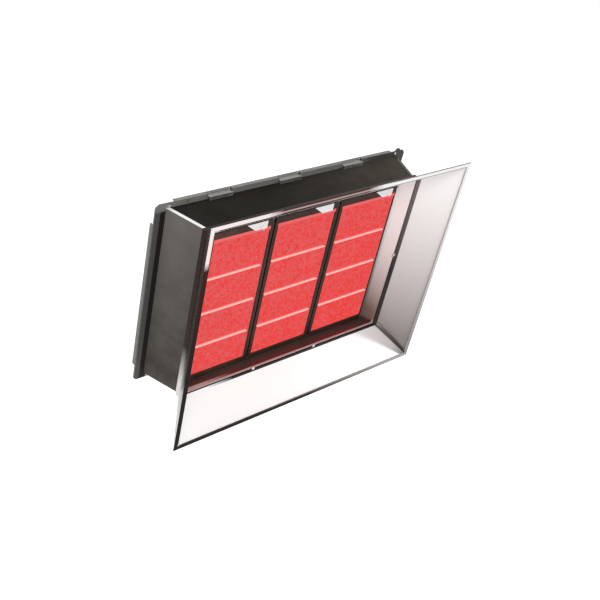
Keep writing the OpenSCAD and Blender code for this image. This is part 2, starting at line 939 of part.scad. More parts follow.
module rail_plug() {
    color("goldenrod") placed() translate([-rail_left, line_y, line_z]) along_x() {
        cylinder(d = rail_bore, h = plug_l);
        translate([0, 0, -plug_head]) cylinder(r = rail_r, h = plug_head, $fn = 6);
    }
}

// Blocks that carry the gas rail on the rear panel
module rail_saddles() {
    color("#8f8f8c") placed()
        for (x = [-saddle_x, saddle_x])
            difference() {
                block(
                    [x - saddle_w / 2, back_y, line_z - saddle_h / 2],
                    [x + saddle_w / 2, line_y + rail_r / 2, line_z + saddle_h / 2]);
                translate([x - saddle_w, line_y, line_z]) along_x() cylinder(r = rail_r, h = 2 * saddle_w);
            }
}

// Nut between the gas rail and the valve
module rail_union() {
    color("goldenrod") placed() translate([valve_x - valve_w / 2 - union_l, line_y, line_z]) along_x()
        difference() {
            cylinder(r = union_r, h = union_l, $fn = 6);
            translate([0, 0, -over]) cylinder(r = rail_r, h = union_l + 2 * over);
        }
}

// Valve block: gas enters on the right, passes the seat downwards and leaves on the left
module valve_body() {
    left = valve_x - valve_w / 2;
    seat_z = line_z + seat_up;
    color("#b9b4aa") placed()
        difference() {
            block(
                [left, line_y - valve_deep / 2, line_z - valve_down],
                [left + valve_w, line_y + valve_deep / 2, line_z + valve_up]);
            translate([left - over, line_y, line_z]) along_x() cylinder(r = port_r, h = port_l + over);
            translate([left, line_y, line_z - way_out_down]) along_x() cylinder(r = way_r, h = valve_w / 2 + seat_r);
            translate([valve_x + way_r, line_y, line_z + way_in_up]) along_x() cylinder(r = way_r, h = valve_w);
            translate([valve_x, line_y, line_z - way_out_down])
                cylinder(r = seat_r, h = seat_up + way_out_down + over);
            translate([valve_x, line_y, seat_z]) cylinder(r = chamber_r, h = valve_up);
        }
}

// Brass tube that guides the plunger, closed at the top
module valve_tube() {
    top = line_z + valve_up;
    color("goldenrod") placed() translate([valve_x, line_y, top])
        difference() {
            union() {
                cylinder(r = tube_flange_r, h = tube_flange_t);
                cylinder(r = tube_r, h = tube_l);
            }
            translate([0, 0, -over]) cylinder(r = tube_r - tube_wall, h = tube_l - tube_cap + over);
        }
}

yoke_low = line_z + valve_up + tube_flange_t;
module valve_coil() {
    color("#1f1f22") placed() translate([valve_x, line_y, yoke_low + yoke_t])
        difference() {
            cylinder(r = coil_r, h = coil_l);
            translate([0, 0, -over]) cylinder(r = tube_r + set_gap, h = coil_l + 2 * over);
        }
}

// Steel band round the coil
module coil_yoke() {
    yoke_h = coil_l + 2 * yoke_t + 2 * set_gap;
    color("silver") placed() translate([valve_x, line_y, yoke_low + yoke_h / 2])
        difference() {
            slab(2 * coil_r + 2 * yoke_t + 2 * set_gap, yoke_w, yoke_h, -yoke_w / 2);
            slab(2 * coil_r + 2 * set_gap, yoke_w + 2 * over, yoke_h - 2 * yoke_t, -yoke_w / 2 - over);
            translate([0, 0, -yoke_h]) cylinder(r = tube_r + set_gap, h = 2 * yoke_h);
        }
}

module coil_nut() {
    seat = yoke_low + coil_l + 2 * yoke_t + 2 * set_gap;
    color("silver") placed() translate([valve_x, line_y, seat])
        difference() {
            cylinder(r = coil_nut_r, h = coil_nut_t, $fn = 6);
            translate([0, 0, -over]) cylinder(r = tube_r + run_fit, h = coil_nut_t + 2 * over);
        }
}

plunger_low = line_z + seat_up + move_gap + seal_t;
module valve_plunger() {
    color("#a5a5a5") placed() translate([valve_x, line_y, plunger_low])
        cylinder(r = plunger_r, h = plunger_l);
}

module valve_seal() {
    color("#202020") placed() translate([valve_x, line_y, plunger_low - seal_t])
        cylinder(r = seal_r, h = seal_t);
}

module valve_spring() {
    top = line_z + valve_up + tube_l - tube_cap;
    low = plunger_low + plunger_l;
    color("silver") placed() translate([valve_x, line_y, low])
        coil_spring(plunger_r - spring_wire, top - low, spring_wire, spring_turns);
}

// Ball tap: body with the ball's hollow, the stem's boss and the inlet thread
module tap_body() {
    start = tap_x - tap_front;
    end = tap_x + tap_back;
    color("goldenrod") placed() translate([0, line_y, line_z])
        difference() {
            union() {
                translate([start, 0, 0]) along_x() cylinder(r = tap_r, h = tap_front + tap_back);
                translate([end, 0, 0]) along_x() cylinder(r = tap_hex_r, h = tap_hex_l, $fn = 6);
                translate([end + tap_hex_l, 0, 0]) along_x() cylinder(d = inlet_d, h = inlet_l);
                translate([tap_x, 0, 0]) along_y() cylinder(r = stem_boss_r, h = stem_boss_l);
            }
            translate([start - over, 0, 0]) along_x()
                cylinder(r = tap_bore_r, h = tap_front + tap_back + tap_hex_l + inlet_l + 2 * over);
            translate([tap_x - ball_r - move_gap, 0, 0]) along_x()
                cylinder(r = ball_r + move_gap, h = 2 * (ball_r + move_gap));
            translate([tap_x, 0, 0]) along_y() cylinder(r = stem_r + run_fit, h = stem_boss_l + over);
        }
}

module tap_ball() {
    color("silver") placed() translate([tap_x, line_y, line_z])
        difference() {
            along_x() rotate_extrude()
                difference() {
                    circle(ball_r);
                    translate([-ball_r, -ball_r]) square([ball_r + tap_bore_r, 2 * ball_r]);
                }
            block([-stem_r, ball_r - stem_r / 2, -stem_r], [stem_r, ball_r + over, stem_r]);
        }
}

module tap_stem() {
    color("silver") placed() translate([tap_x, line_y + ball_r - stem_r / 2, line_z])
        along_y() cylinder(r = stem_r, h = stem_l - ball_r + stem_r / 2);
}

// Lever, along the pipe when the tap is open
module tap_lever() {
    color("#d8b400") placed() translate([tap_x, line_y + lever_y, line_z])
        difference() {
            union() {
                along_y() cylinder(r = lever_hub_r, h = lever_t);
                block([-lever_l + lever_w / 2, 0, -lever_w / 2], [0, lever_t, lever_w / 2]);
                translate([-lever_l + lever_w / 2, 0, 0]) along_y() cylinder(r = lever_w / 2, h = lever_t);
            }
            translate([0, -over, 0]) along_y() cylinder(r = stem_r + run_fit, h = lever_t + 2 * over);
        }
}

module tap_nut() {
    color("silver") placed() translate([tap_x, line_y + lever_y + lever_t, line_z]) along_y()
        difference() {
            cylinder(r = tap_nut_r, h = tap_nut_t, $fn = 6);
            translate([0, 0, -over]) cylinder(r = stem_r + run_fit, h = tap_nut_t + 2 * over);
        }
}

// Control box, open to the rear, with holes for the button, the gland and the leads
module control_box() {
    color("#5c5f63") placed() translate([box_x, 0, box_mid])
        difference() {
            slab(box_w, box_d - box_wall, box_h, back_y);
            slab(box_w - 2 * box_wall, box_d, box_h - 2 * box_wall, back_y + box_wall);
            translate([button_x, back_y + button_y, -box_h / 2 - over])
                cylinder(d = button_d + 2 * run_fit, h = box_wall + 2 * over);
            translate([gland_x, back_y + button_y, -box_h / 2 - over])
                cylinder(r = gland_in + set_gap, h = box_wall + 2 * over);
        }
}

module control_lid() {
    inner_w = box_w - 2 * box_wall - 2 * set_gap;
    inner_h = box_h - 2 * box_wall - 2 * set_gap;
    seat = back_y + box_d - box_wall;
    color("#6c7075") placed() translate([box_x, 0, box_mid]) {
        slab(box_w, box_wall, box_h, seat);
        difference() {
            slab(inner_w, lid_lip, inner_h, seat - lid_lip);
            slab(inner_w - 2 * box_wall, lid_lip + over, inner_h - 2 * box_wall, seat - lid_lip - over);
        }
    }
}

// Circuit board on posts, with the shelf that the button's spring pushes on
module control_board() {
    low = box_low + box_wall + button_top + button_flange_t + button_spring_l;
    color("#2f6b3a") placed() {
        translate([box_x, 0, box_mid])
            slab(box_w - 2 * board_margin, board_t, box_h - 2 * board_margin, back_y + box_wall + board_post);
        for (x = [-1, 1], z = [-1, 1])
            translate([
                box_x + x * (box_w / 2 - 2 * board_margin),
                back_y + box_wall,
                box_mid + z * (box_h / 2 - 2 * board_margin)])
                along_y() cylinder(r = board_post_r, h = board_post);
        block(
            [box_x + button_x - shelf_w / 2, back_y + box_wall + board_post + board_t, low],
            [box_x + button_x + shelf_w / 2, back_y + button_y + shelf_w / 2, low + shelf_t]);
    }
}

flange_low = box_low + box_wall + move_gap;
module reset_button() {
    color("#b3251e") placed() translate([box_x + button_x, back_y + button_y, 0]) {
        translate([0, 0, box_low - button_out])
            cylinder(d = button_d, h = button_out + box_wall + button_top);
        translate([0, 0, flange_low]) cylinder(r = button_flange_r, h = button_flange_t);
    }
}

module button_spring() {
    low = box_low + box_wall + button_top;
    color("silver") placed() translate([box_x + button_x, back_y + button_y, low])
        coil_spring(button_spring_r, button_spring_l + button_flange_t, button_spring_wire, spring_turns);
}

module cable_gland() {
    color("#222222") placed() translate([box_x + gland_x, back_y + button_y, box_low])
        difference() {
            union() {
                translate([0, 0, -gland_l]) cylinder(r = gland_r, h = gland_l, $fn = 6);
                cylinder(r = gland_in, h = box_wall + gland_in);
            }
            translate([0, 0, -gland_l - over]) cylinder(d = gland_bore, h = gland_l + gland_in + box_wall + 2 * over);
        }
}

// Hole that an electrode passes through, in the outer burners only
module electrode_hole(i) {
    if (i != 1)
        translate([electrode_x, -pan_d, electrode_z])
            along_y() cylinder(r = insulator_r + set_gap, h = 3 * pan_d);
}

// Spark and flame electrodes: a ceramic body through the rim and the pan, a rod bent down and a terminal
module electrodes() {
    front = -bezel_t - clip_t - insulator_out;
    for (i = [0, 2])
        color("#f2efe6") at_burner(i) translate([electrode_x, 0, electrode_z]) {
            translate([0, front, 0]) along_y() cylinder(r = insulator_r, h = pan_d + insulator_back - front);
            translate([0, pan_d, 0]) along_y() cylinder(r = insulator_collar_r, h = insulator_collar_t);
            translate([0, pan_d + insulator_back, 0]) along_y() cylinder(r = rod_r, h = terminal_l);
            translate([0, front - rod_reach - rod_r, 0]) along_y() cylinder(r = rod_r, h = rod_reach + rod_r);
            translate([0, front - rod_reach, -rod_down]) cylinder(r = rod_r, h = rod_down);
        }
}

wall_bracket();
pivot_bolts();
pivot_nuts();
pivot_washers();
support_rail();
pivot_ears();
rear_frame();
rear_panel();
frame_screws();
housing_top();
housing_bottom();
housing_left();
housing_right();
edge_strips();
inner_collar();
hood_top();
hood_bottom();
hood_left();
hood_right();
burner_pan(0);  // burner_pan_left
burner_pan(1);  // burner_pan_middle
burner_pan(2);  // burner_pan_right
bezel(0);  // bezel_left
bezel(1);  // bezel_middle
bezel(2);  // bezel_right
plates(0);  // plates_left
plates(1);  // plates_middle
plates(2);  // plates_right
joint_strips();
plate_gaskets();
burner_clips();
baffle_plates();
burner_rails();
venturi_tubes();
injectors();
gas_rail();
rail_plug();
rail_saddles();
rail_union();
valve_body();
valve_tube();
valve_coil();
coil_yoke();
coil_nut();
valve_plunger();
valve_seal();
valve_spring();
tap_body();
tap_ball();
tap_stem();
tap_lever();
tap_nut();
control_box();
control_lid();
control_board();
reset_button();
button_spring();
cable_gland();
electrodes();
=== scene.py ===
"""Dresses a gas infrared heater: finishes for every part, and the fine parts that the solids leave plain."""

import bmesh
import bpy
import numpy as np
from bpy.props import FloatProperty, FloatVectorProperty, PointerProperty
from mathutils import Matrix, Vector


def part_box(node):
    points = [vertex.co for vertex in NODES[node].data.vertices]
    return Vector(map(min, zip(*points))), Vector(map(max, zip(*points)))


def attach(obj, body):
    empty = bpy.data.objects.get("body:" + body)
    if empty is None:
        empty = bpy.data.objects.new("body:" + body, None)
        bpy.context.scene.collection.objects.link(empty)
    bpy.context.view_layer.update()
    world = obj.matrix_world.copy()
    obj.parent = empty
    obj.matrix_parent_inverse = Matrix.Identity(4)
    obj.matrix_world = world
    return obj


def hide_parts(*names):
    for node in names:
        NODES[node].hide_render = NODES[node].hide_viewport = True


bl_info = {
    "name": "Gas infrared heater",
    "version": (1, 0, 0),
    "blender": (4, 5, 0),
    "location": "View3D > Sidebar > Heater",
    "description": "Finishes and fine parts of a gas infrared heater with three burners and a reflector hood",
    "category": "Object",
}

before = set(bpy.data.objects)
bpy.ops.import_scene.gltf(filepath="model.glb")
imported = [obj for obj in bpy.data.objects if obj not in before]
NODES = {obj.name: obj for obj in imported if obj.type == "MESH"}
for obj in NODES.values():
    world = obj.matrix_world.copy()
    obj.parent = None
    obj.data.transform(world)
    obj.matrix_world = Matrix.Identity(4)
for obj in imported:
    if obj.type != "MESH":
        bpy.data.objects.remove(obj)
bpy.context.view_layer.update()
MM = 0.001
# The plate face's distance from the wall and the casing's middle above the wall holes, in millimetres
WALL_REACH = 300.0
LIFT = 42.0
BURNERS = {"left": -197.5, "middle": 0.0, "right": 197.5}
BURNER_MIDDLE = -23.0
PLATE_W = 176.0
PLATE_H = 93.0
PLATE_T = 13.0
PLATE_PITCH = 95.0
# Places in metres of the row frame: the windows' top edge, the hood's rear, and just behind the hood's rim
HOT_EDGE = 0.2075
HOOD_REAR = -0.333
HOOD_RIM = -0.42


def low(node):
    """Lowest corner of a CAD node, in millimetres of the row frame."""
    return np.array(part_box(node)[0]) / MM


def high(node):
    """Highest corner of a CAD node, in millimetres of the row frame."""
    return np.array(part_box(node)[1]) / MM


def middle(node):
    """Middle of a CAD node's box, in millimetres of the row frame."""
    return (low(node) + high(node)) / 2


def placed(points):
    """Moves points from the heater's own frame to the row frame: out from the wall by its reach, and up.

    The own frame's zero is the plate face, in the casing's middle.
    """
    return np.asarray(points, float) + np.array([0.0, -WALL_REACH, LIFT])


# Colours and sizes that a user would change


def colour(name, words, default):
    """A colour setting."""
    return FloatVectorProperty(name=name, description=words, default=default, size=3, min=0.0, max=1.0,
                               subtype="COLOR")


def length(name, words, default, least=0.0001, most=5.0):
    """A length setting, in metres."""
    return FloatProperty(name=name, description=words, default=default, min=least, max=most, unit="LENGTH",
                         precision=4)


def amount(name, words, default, unit="NONE", least=0.0):
    """A setting without an upper limit, such as a lamp's power."""
    return FloatProperty(name=name, description=words, default=default, min=least, unit=unit)


class HeaterColours(bpy.types.PropertyGroup):
    """Colours of the heater's finishes."""

    # The casing's top and sides are one enamel: the sides are lighter than the top in painted light, the
    # top's lighter right end is a painted reflection, and the sides' darker low end is painted shade.
    casing_top: colour("Casing top", "Enamel on the casing's top and underside", (0.010, 0.008, 0.007))
    casing_top_painted_reflection: colour("Casing top, light end", "Enamel on the top's right end", (0.075, 0.067, 0.055))
    casing_side: colour("Casing side", "Enamel high on the casing's sides", (0.165, 0.15, 0.135))
    casing_side_low_painted_shade: colour("Casing side, low end", "Enamel low on the casing's sides", (0.062, 0.054, 0.047))
    frame_zinc: colour("Rear frame", "Zinc on the rear frame and its panel", (0.25, 0.241, 0.229))
    reflector: colour("Reflector", "Polished steel of the hood", (0.93, 0.92, 0.91))
    # Painted shade: the dark colour of the collar's floor behind its front edge, under the burners.
    collar_floor_shade: colour("Heat brown", "Steel that the heat has browned", (0.06, 0.036, 0.03))
    glow: colour("Glow", "Glowing ceramic plates", (0.765, 0.086, 0.086))
    glow_hot: colour("Glow, hot", "Glowing ceramic where it is hottest", (0.9, 0.035, 0.03))
    glow_pale: colour("Glow, pale", "Pale flecks of the glowing ceramic", (0.72, 0.165, 0.17))
    strip_glow: colour("Strip glow", "Glowing strips in the joints", (1.0, 0.47, 0.44))
    bezel: colour("Burner rim", "Browned steel of the burner rims", (0.045, 0.022, 0.016))
    brass: colour("Brass", "Brass of the gas line", (0.68, 0.45, 0.16))
    zinc: colour("Fasteners", "Bright zinc of bolts, nuts and springs", (0.66, 0.66, 0.64))
    black_coat: colour("Bracket", "Black powder coat of the wall bracket", (0.03, 0.03, 0.031))
    box_paint: colour("Control box", "Paint of the control box", (0.13, 0.14, 0.15))
    lever: colour("Lever", "Sleeve of the tap lever", (0.78, 0.5, 0.03))
    button: colour("Button", "Reset button", (0.55, 0.03, 0.02))


class HeaterTrim(bpy.types.PropertyGroup):
    """Sizes of the fine parts."""

    hem: length("Hem", "Radius of the rolled hem on the hood's rim", 0.0013)
    collar_hem: length("Collar hem", "Radius of the rolled hem on the collar's front edge", 0.001)
    window_hem: length("Window hem", "Radius of the rolled edge round each burner's window", 0.0008)
    dimple_pitch: length("Dimple pitch", "Distance between the dimples of a ceramic plate", 0.008)
    dimple_depth: length("Dimple depth", "Depth of the dimples of a ceramic plate", 0.0009)
    thread_pitch: length("Thread pitch", "Pitch of the gas inlet's thread", 0.00181)
    thread_depth: length("Thread depth", "Height of the gas inlet's thread", 0.0006)
    weld: length("Weld", "Radius of the weld beads on the bracket", 0.0022)
    strap: length("Strap", "Thickness of the straps over the gas rail", 0.0015)
    rib: length("Rib", "Height of the pressed ribs on the rear panel", 0.0014)


class HeaterStage(bpy.types.PropertyGroup):
    """Light, floor and camera."""

    floor_drop: length("Floor drop", "Height of the wall holes above the floor", 1.75)
    key: amount("Key light", "Power of the large soft lamp", 62.0, "POWER")
    fill: amount("Fill light", "Power of the lamp on the right", 14.0, "POWER")
    world: amount("World light", "Strength of the even light all round", 0.62)
    lens: amount("Lens", "Focal length of the camera, in millimetres", 57.73, least=1.0)


def colours():
    """The colour settings."""
    return bpy.context.scene.heater_colours


def trim():
    """The trim sizes."""
    return bpy.context.scene.heater_trim


# Surfaces


def grid_faces(nu, nv, wrap_u, wrap_v):
    """Quads of a grid of nu by nv points, numbered row by row, closed along u or v where asked."""
    u = np.arange(nu if wrap_u else nu - 1)[:, None]
    v = np.arange(nv if wrap_v else nv - 1)[None, :]
    u2 = (u + 1) % nu
    v2 = (v + 1) % nv
    return np.stack([u * nv + v, u2 * nv + v, u2 * nv + v2, u * nv + v2], axis=-1).reshape(-1, 4)


def surface(points, wrap_u=False, wrap_v=False):
    """A grid of points as one part: its points in a list, and its quads."""
    nu, nv = points.shape[:2]
    return points.reshape(-1, 3), grid_faces(nu, nv, wrap_u, wrap_v)


def basis(axis):
    """Two unit vectors square to an axis, in a right-handed set with it."""
    axis = np.asarray(axis, float) / np.linalg.norm(axis)
    side = np.array([0.0, 0.0, 1.0]) if abs(axis[2]) < 0.9 else np.array([1.0, 0.0, 0.0])
    a = np.cross(side, axis)
    a /= np.linalg.norm(a)
    return a, np.cross(axis, a), axis


def turned(profile, centre, axis, sides=48, radius_of=None):
    """A turned form: each profile point, a radius and a height, goes round the axis.

    radius_of(angle, radius, height) may reshape it.
    """
    a, b, c = basis(axis)
    angle = np.linspace(0, 2 * np.pi, sides, endpoint=False)[:, None]
    radius = np.asarray(profile, float)[None, :, 0] + 0 * angle
    rise = np.asarray(profile, float)[None, :, 1] + 0 * angle
    if radius_of:
        radius = radius_of(angle, radius, rise)
    way = np.cos(angle)[..., None] * a + np.sin(angle)[..., None] * b
    points = np.asarray(centre, float) + radius[..., None] * way + rise[..., None] * c
    return surface(points, wrap_u=True)


def hexagon(angle, radius, rise):
    """A hexagon with a round chamfer: the smaller of the flat's reach and the profile's radius.

    The profile's greatest radius is the corner's.
    """
    flat = radius.max() * np.cos(np.pi / 6) / np.cos((angle + np.pi / 6) % (np.pi / 3) - np.pi / 6)
    return np.minimum(flat, radius)


def tube(path, radius, sides=10, closed=False, swell=None):
    """A round bar along a path: a circle square to the path at each point.

    swell is a share of the radius at each point, and 0 closes an end.
    """
    path = np.asarray(path, float)
    if closed:
        ahead = np.roll(path, -1, 0) - np.roll(path, 1, 0)
    else:
        ahead = np.gradient(path, axis=0)
    ahead /= np.linalg.norm(ahead, axis=1)[:, None]
    span = path.max(0) - path.min(0)
    up = np.eye(3)[int(np.argmin(span))]
    a = np.cross(ahead, up)
    a /= np.linalg.norm(a, axis=1)[:, None]
    b = np.cross(ahead, a)
    angle = np.linspace(0, 2 * np.pi, sides, endpoint=False)
    size = radius * (np.ones(len(path)) if swell is None else np.asarray(swell, float))
    ring = np.cos(angle)[None, :, None] * a[:, None] + np.sin(angle)[None, :, None] * b[:, None]
    return surface(path[:, None] + size[:, None, None] * ring, wrap_u=closed, wrap_v=True)


def round_ends(count, share=0.06):
    """Shares of a bar's radius along its length: a quarter circle at each end closes it to a point."""
    t = np.linspace(0, 1, count)
    near = np.clip(np.minimum(t, 1 - t) / share, 0, 1)
    return np.sqrt(np.clip(1 - (1 - near) ** 2, 0, 1))


def loop_path(half_w, bottom, top, corner, y, per_corner=8, per_side=2):
    """A rectangle with round corners that stands across y: four quarter circles joined by straight runs."""
    centres = np.array([[half_w - corner, top - corner], [-half_w + corner, top - corner],
                        [-half_w + corner, bottom + corner], [half_w - corner, bottom + corner]])
    angle = np.linspace(0, np.pi / 2, per_corner)[None, :] + np.pi / 2 * np.arange(4)[:, None]
    x = centres[:, 0, None] + corner * np.cos(angle)
    z = centres[:, 1, None] + corner * np.sin(angle)
    return np.stack([x.ravel(), np.full(x.size, y), z.ravel()], axis=1)


def ridge(start, end, across, out, width, height, count=24, sides=9):
    """A pressed rib: a half ellipse carried along a straight line, shrinking to nothing at both ends."""
    t = np.linspace(0, 1, count)[:, None]
    path = np.asarray(start, float) + t * (np.asarray(end, float) - np.asarray(start, float))
    swell = round_ends(count, 0.12)[:, None, None]
    angle = np.linspace(0, np.pi, sides)[None, :, None]
    points = (path[:, None] + swell * width / 2 * np.cos(angle) * np.asarray(across, float)
              + swell * height * np.sin(angle) * np.asarray(out, float))
    return surface(points)


def slab_part(centre, size, round_by=0.6, steps=7):
    """A block with soft edges: a sphere of directions pushed out to a superellipsoid with flat faces."""
    u = np.linspace(-np.pi, np.pi, 4 * steps, endpoint=False)[:, None]
    v = np.linspace(-np.pi / 2, np.pi / 2, 2 * steps + 1)[None, :]

    def soft(value):
        return np.sign(value) * np.abs(value) ** (round_by * 0.35)

    half = np.asarray(size, float) / 2
    x = soft(np.cos(v)) * soft(np.cos(u))
    y = soft(np.cos(v)) * soft(np.sin(u))
    z = soft(np.sin(v)) + 0 * u
    return surface(np.asarray(centre, float) + np.stack([x, y, z], -1) * half, wrap_u=True)


def screw_head(centre, axis, radius, height, slot=0.36, reach=0.6, recess=0.45, count=32, rings=12):
    """A cross-recess screw head: a dome over a disc, lowered where either of two crossed bars runs.

    slot and reach are the bars' width and half length as shares of the radius, and recess is their depth as a
    share of the height.
    """
    a, b, c = basis(axis)
    angle = np.linspace(0, 2 * np.pi, count, endpoint=False)[:, None]
    r = np.linspace(0, 1, rings)[None, :] * np.ones_like(angle)
    x, y = r * np.cos(angle), r * np.sin(angle)
    dome = height * np.sqrt(np.clip(1 - 0.75 * r ** 2, 0, 1))
    across, along = np.abs(x), np.abs(y)
    arm = (across < slot / 2) & (along < reach) | (along < slot / 2) & (across < reach)
    rise = dome - recess * height * arm
    rise = np.concatenate([rise, np.zeros_like(rise[:, :1])], axis=1)
    x = np.concatenate([x, x[:, -1:]], axis=1)
    y = np.concatenate([y, y[:, -1:]], axis=1)
    points = np.asarray(centre, float) + radius * (x[..., None] * a + y[..., None] * b) + rise[..., None] * c
    return surface(points, wrap_u=True)


def piece(name, parts, finish_name, body, smooth=40.0, replaces=()):
    """Joins parts, in millimetres of the row frame, into one object with a finish, and hands it to a body.

    Edges that turn by more than smooth degrees stay sharp.
    """
    start = np.cumsum([0] + [len(p) for p, _ in parts[:-1]])
    points = np.concatenate([p for p, _ in parts]) * MM
    faces = np.concatenate([f + s for (_, f), s in zip(parts, start)])
    mesh = bpy.data.meshes.new(name)
    mesh.vertices.add(len(points))
    mesh.vertices.foreach_set("co", points.astype(np.float32).ravel())
    mesh.loops.add(faces.size)
    mesh.loops.foreach_set("vertex_index", faces.astype(np.int32).ravel())
    mesh.polygons.add(len(faces))
    mesh.polygons.foreach_set("loop_start", np.arange(0, faces.size, 4, dtype=np.int32))
    mesh.update(calc_edges=True)
    soft = bmesh.new()
    soft.from_mesh(mesh)
    bmesh.ops.remove_doubles(soft, verts=soft.verts, dist=1e-6)
    bmesh.ops.dissolve_degenerate(soft, edges=soft.edges, dist=1e-7)
    bmesh.ops.recalc_face_normals(soft, faces=soft.faces)
    soft.to_mesh(mesh)
    soft.free()
    mesh.validate()
    mesh.shade_smooth()
    mesh.set_sharp_from_angle(angle=np.radians(smooth))
    mesh.materials.append(finish(finish_name))
    obj = bpy.data.objects.new(name, mesh)
    bpy.context.scene.collection.objects.link(obj)
    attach(obj, body)
    if replaces:
        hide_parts(*replaces)
    return obj


# Finishes


class Finish:
    """A node material: one Principled surface, with short calls that add the nodes before it."""

    def __init__(self, name, base, metal=0.0, rough=0.5, more=()):
        self.material = bpy.data.materials.new(name)
        self.material.use_nodes = True
        self.tree = self.material.node_tree
        self.shader = self.tree.nodes["Principled BSDF"]
        self.put("Base Color", base)
        self.put("Metallic", metal)
        self.put("Roughness", rough)
        for socket, value in dict(more).items():
            self.put(socket, value)
        where = self.tree.nodes.new("ShaderNodeTexCoord")
        self.where = where.outputs["Object"]
        self.split = None

    def put(self, socket, value, node=None):
        """Sets a socket, or links it where the value is another node's output."""
        socket = (node or self.shader).inputs[socket]
        if isinstance(value, bpy.types.NodeSocket):
            self.tree.links.new(value, socket)
        elif hasattr(socket.default_value, "__len__") and len(socket.default_value) == 4:
            socket.default_value = (*tuple(value)[:3], 1.0)
        else:
            socket.default_value = value

    def add(self, kind, inputs=(), **settings):
        """Adds a node with its settings and inputs."""
        node = self.tree.nodes.new("ShaderNode" + kind)
        for key, value in settings.items():
            setattr(node, key, value)
        for socket, value in dict(inputs).items():
            self.put(socket, value, node)
        return node

    def along(self, axis):
        """The Object coordinate along an axis, in metres."""
        if self.split is None:
            self.split = self.add("SeparateXYZ", {0: self.where})
        return self.split.outputs[axis]

    def math(self, kind, a, b=0.0):
        """One sum of two values."""
        return self.add("Math", {0: a, 1: b}, operation=kind).outputs[0]

    def both(self, a, b):
        """The product of two values, which is 1 only where both shares are 1."""
        return self.math("MULTIPLY", a, b)

    def most(self, a, b):
        """The greater of two values."""
        return self.math("MAXIMUM", a, b)

    def total(self, a, b):
        """Two values added up."""
        return self.math("ADD", a, b)

    def share(self, value, start, end):
        """A share that goes from 0 at start to 1 at end."""
        return self.add("MapRange", {"Value": value, "From Min": start, "From Max": end}).outputs["Result"]

    def ramp(self, axis, start, end):
        """A share that goes from 0 at one place along an axis to 1 at another, both in metres."""
        return self.share(self.along(axis), start, end)

    def facing(self):
        """The way that the surface faces, as three values from -1 to 1."""
        return self.add("SeparateXYZ", {0: self.add("NewGeometry").outputs["True Normal"]}).outputs

    def stretched(self, scale):
        """Object coordinates stretched by three factors."""
        return self.add("Mapping", {"Vector": self.where, "Scale": scale}).outputs["Vector"]

    def noise(self, scale, detail=3.0, rough=0.5, where=None):
        """Soft noise, from 0 to 1, at so many waves in a metre."""
        inputs = {"Vector": where or self.where, "Scale": scale, "Detail": detail, "Roughness": rough}
        return self.add("TexNoise", inputs).outputs["Fac"]

    def mix(self, share, a, b):
        """A colour between two colours."""
        node = self.tree.nodes.new("ShaderNodeMix")
        node.data_type = "RGBA"
        self.put(0, share, node)
        self.put(6, a, node)
        self.put(7, b, node)
        return node.outputs[2]

    def between(self, share, a, b):
        """A number between two numbers."""
        return self.add("MapRange", {"Value": share, "To Min": a, "To Max": b}).outputs["Result"]

    def bump(self, height, distance, strength=1.0):
        """Raises the surface by a height from 0 to 1 times a distance in metres."""
        node = self.add("Bump", {"Height": height, "Distance": distance, "Strength": strength})
        self.put("Normal", node.outputs["Normal"])
        return node


def toned(base, factor):
    """A colour made darker or lighter by a factor, up to full white."""
    return tuple(min(1.0, factor * value) for value in base)


def enamel(name, light, dark, axis, start, end, rough=0.42, shine=0.12):
    """Enamel that goes from one shade to another along an axis in painted light and shade, with fine orange
    peel and faint clouds.
    """
    f = Finish(name, dark, 0.0, rough, {"Specular IOR Level": shine})
    shade = f.mix(f.share(f.along(axis), start, end), light, dark)
    clouds = f.noise(14.0, 4.0)
    cast = f.both(f.share(f.noise(26.0, 5.0, 0.6), 0.42, 0.62), 0.22)
    dull = f.mix(f.between(clouds, 0.0, 0.45), shade, toned(dark, 0.72))
    f.put("Base Color", f.mix(cast, dull, toned(light, 1.1)))
    f.put("Roughness", f.between(f.noise(60.0), rough - 0.08, rough + 0.1))
    f.bump(f.noise(900.0, 2.0), 0.00012, 0.5)
    return f.material


def spangles(f, scale):
    """Zinc flakes of irregular shape, each with its own share, and the faint rolling marks on them."""
    cells = f.add("TexVoronoi", {"Vector": f.where, "Scale": scale}, feature="F1")
    f.bump(f.noise(260.0, 3.0, where=f.stretched((1.0, 1.0, 6.0))), 0.0001, 0.4)
    return f.add("SeparateColor", {0: cells.outputs["Color"]}).outputs[0]


def zinc_sheet(name, base, rough=0.45, metal=0.55):
    """Zinc-coated sheet: irregular spangles of slightly different greys, and faint rolling marks."""
    f = Finish(name, base, metal, rough)
    spangle = spangles(f, 110.0)
    shade = f.mix(spangle, toned(base, 0.84), toned(base, 1.12))
    f.put("Base Color", f.mix(f.between(f.noise(9.0, 4.0), 0.0, 0.4), shade, base))
    f.put("Roughness", f.between(spangle, rough - 0.08, rough + 0.1))
    return f.material


def frame_steel(name):
    """Rear frame's zinc: plain grey on the folds and the outer edge, and dark in painted shade where the
    casing shades it and on the front faces towards the right end.
    """
    zinc = colours().frame_zinc
    f = Finish(name, zinc, 0.25, 0.5, {"Specular IOR Level": 0.2})
    spangle = spangles(f, 130.0)
    shade = f.mix(f.between(spangle, 0.0, 0.35), zinc, toned(zinc, 0.7))
    casing_side = f.ramp("X", -0.33, -0.335)
    inner = f.both(f.ramp("X", -0.359, -0.357), casing_side)
    outer = f.both(f.both(f.ramp("X", -0.3714, -0.3696), 0.6), casing_side)
    left = f.both(f.most(inner, outer), f.ramp("Z", 0.266, 0.26))
    right = f.both(f.ramp("X", 0.16, 0.26), f.share(f.facing()["Y"], -0.8, -0.95))
    f.put("Base Color", f.mix(f.most(left, f.both(right, 0.75)), shade, (0.018, 0.016, 0.014)))
    f.put("Roughness", f.between(spangle, 0.42, 0.6))
    return f.material


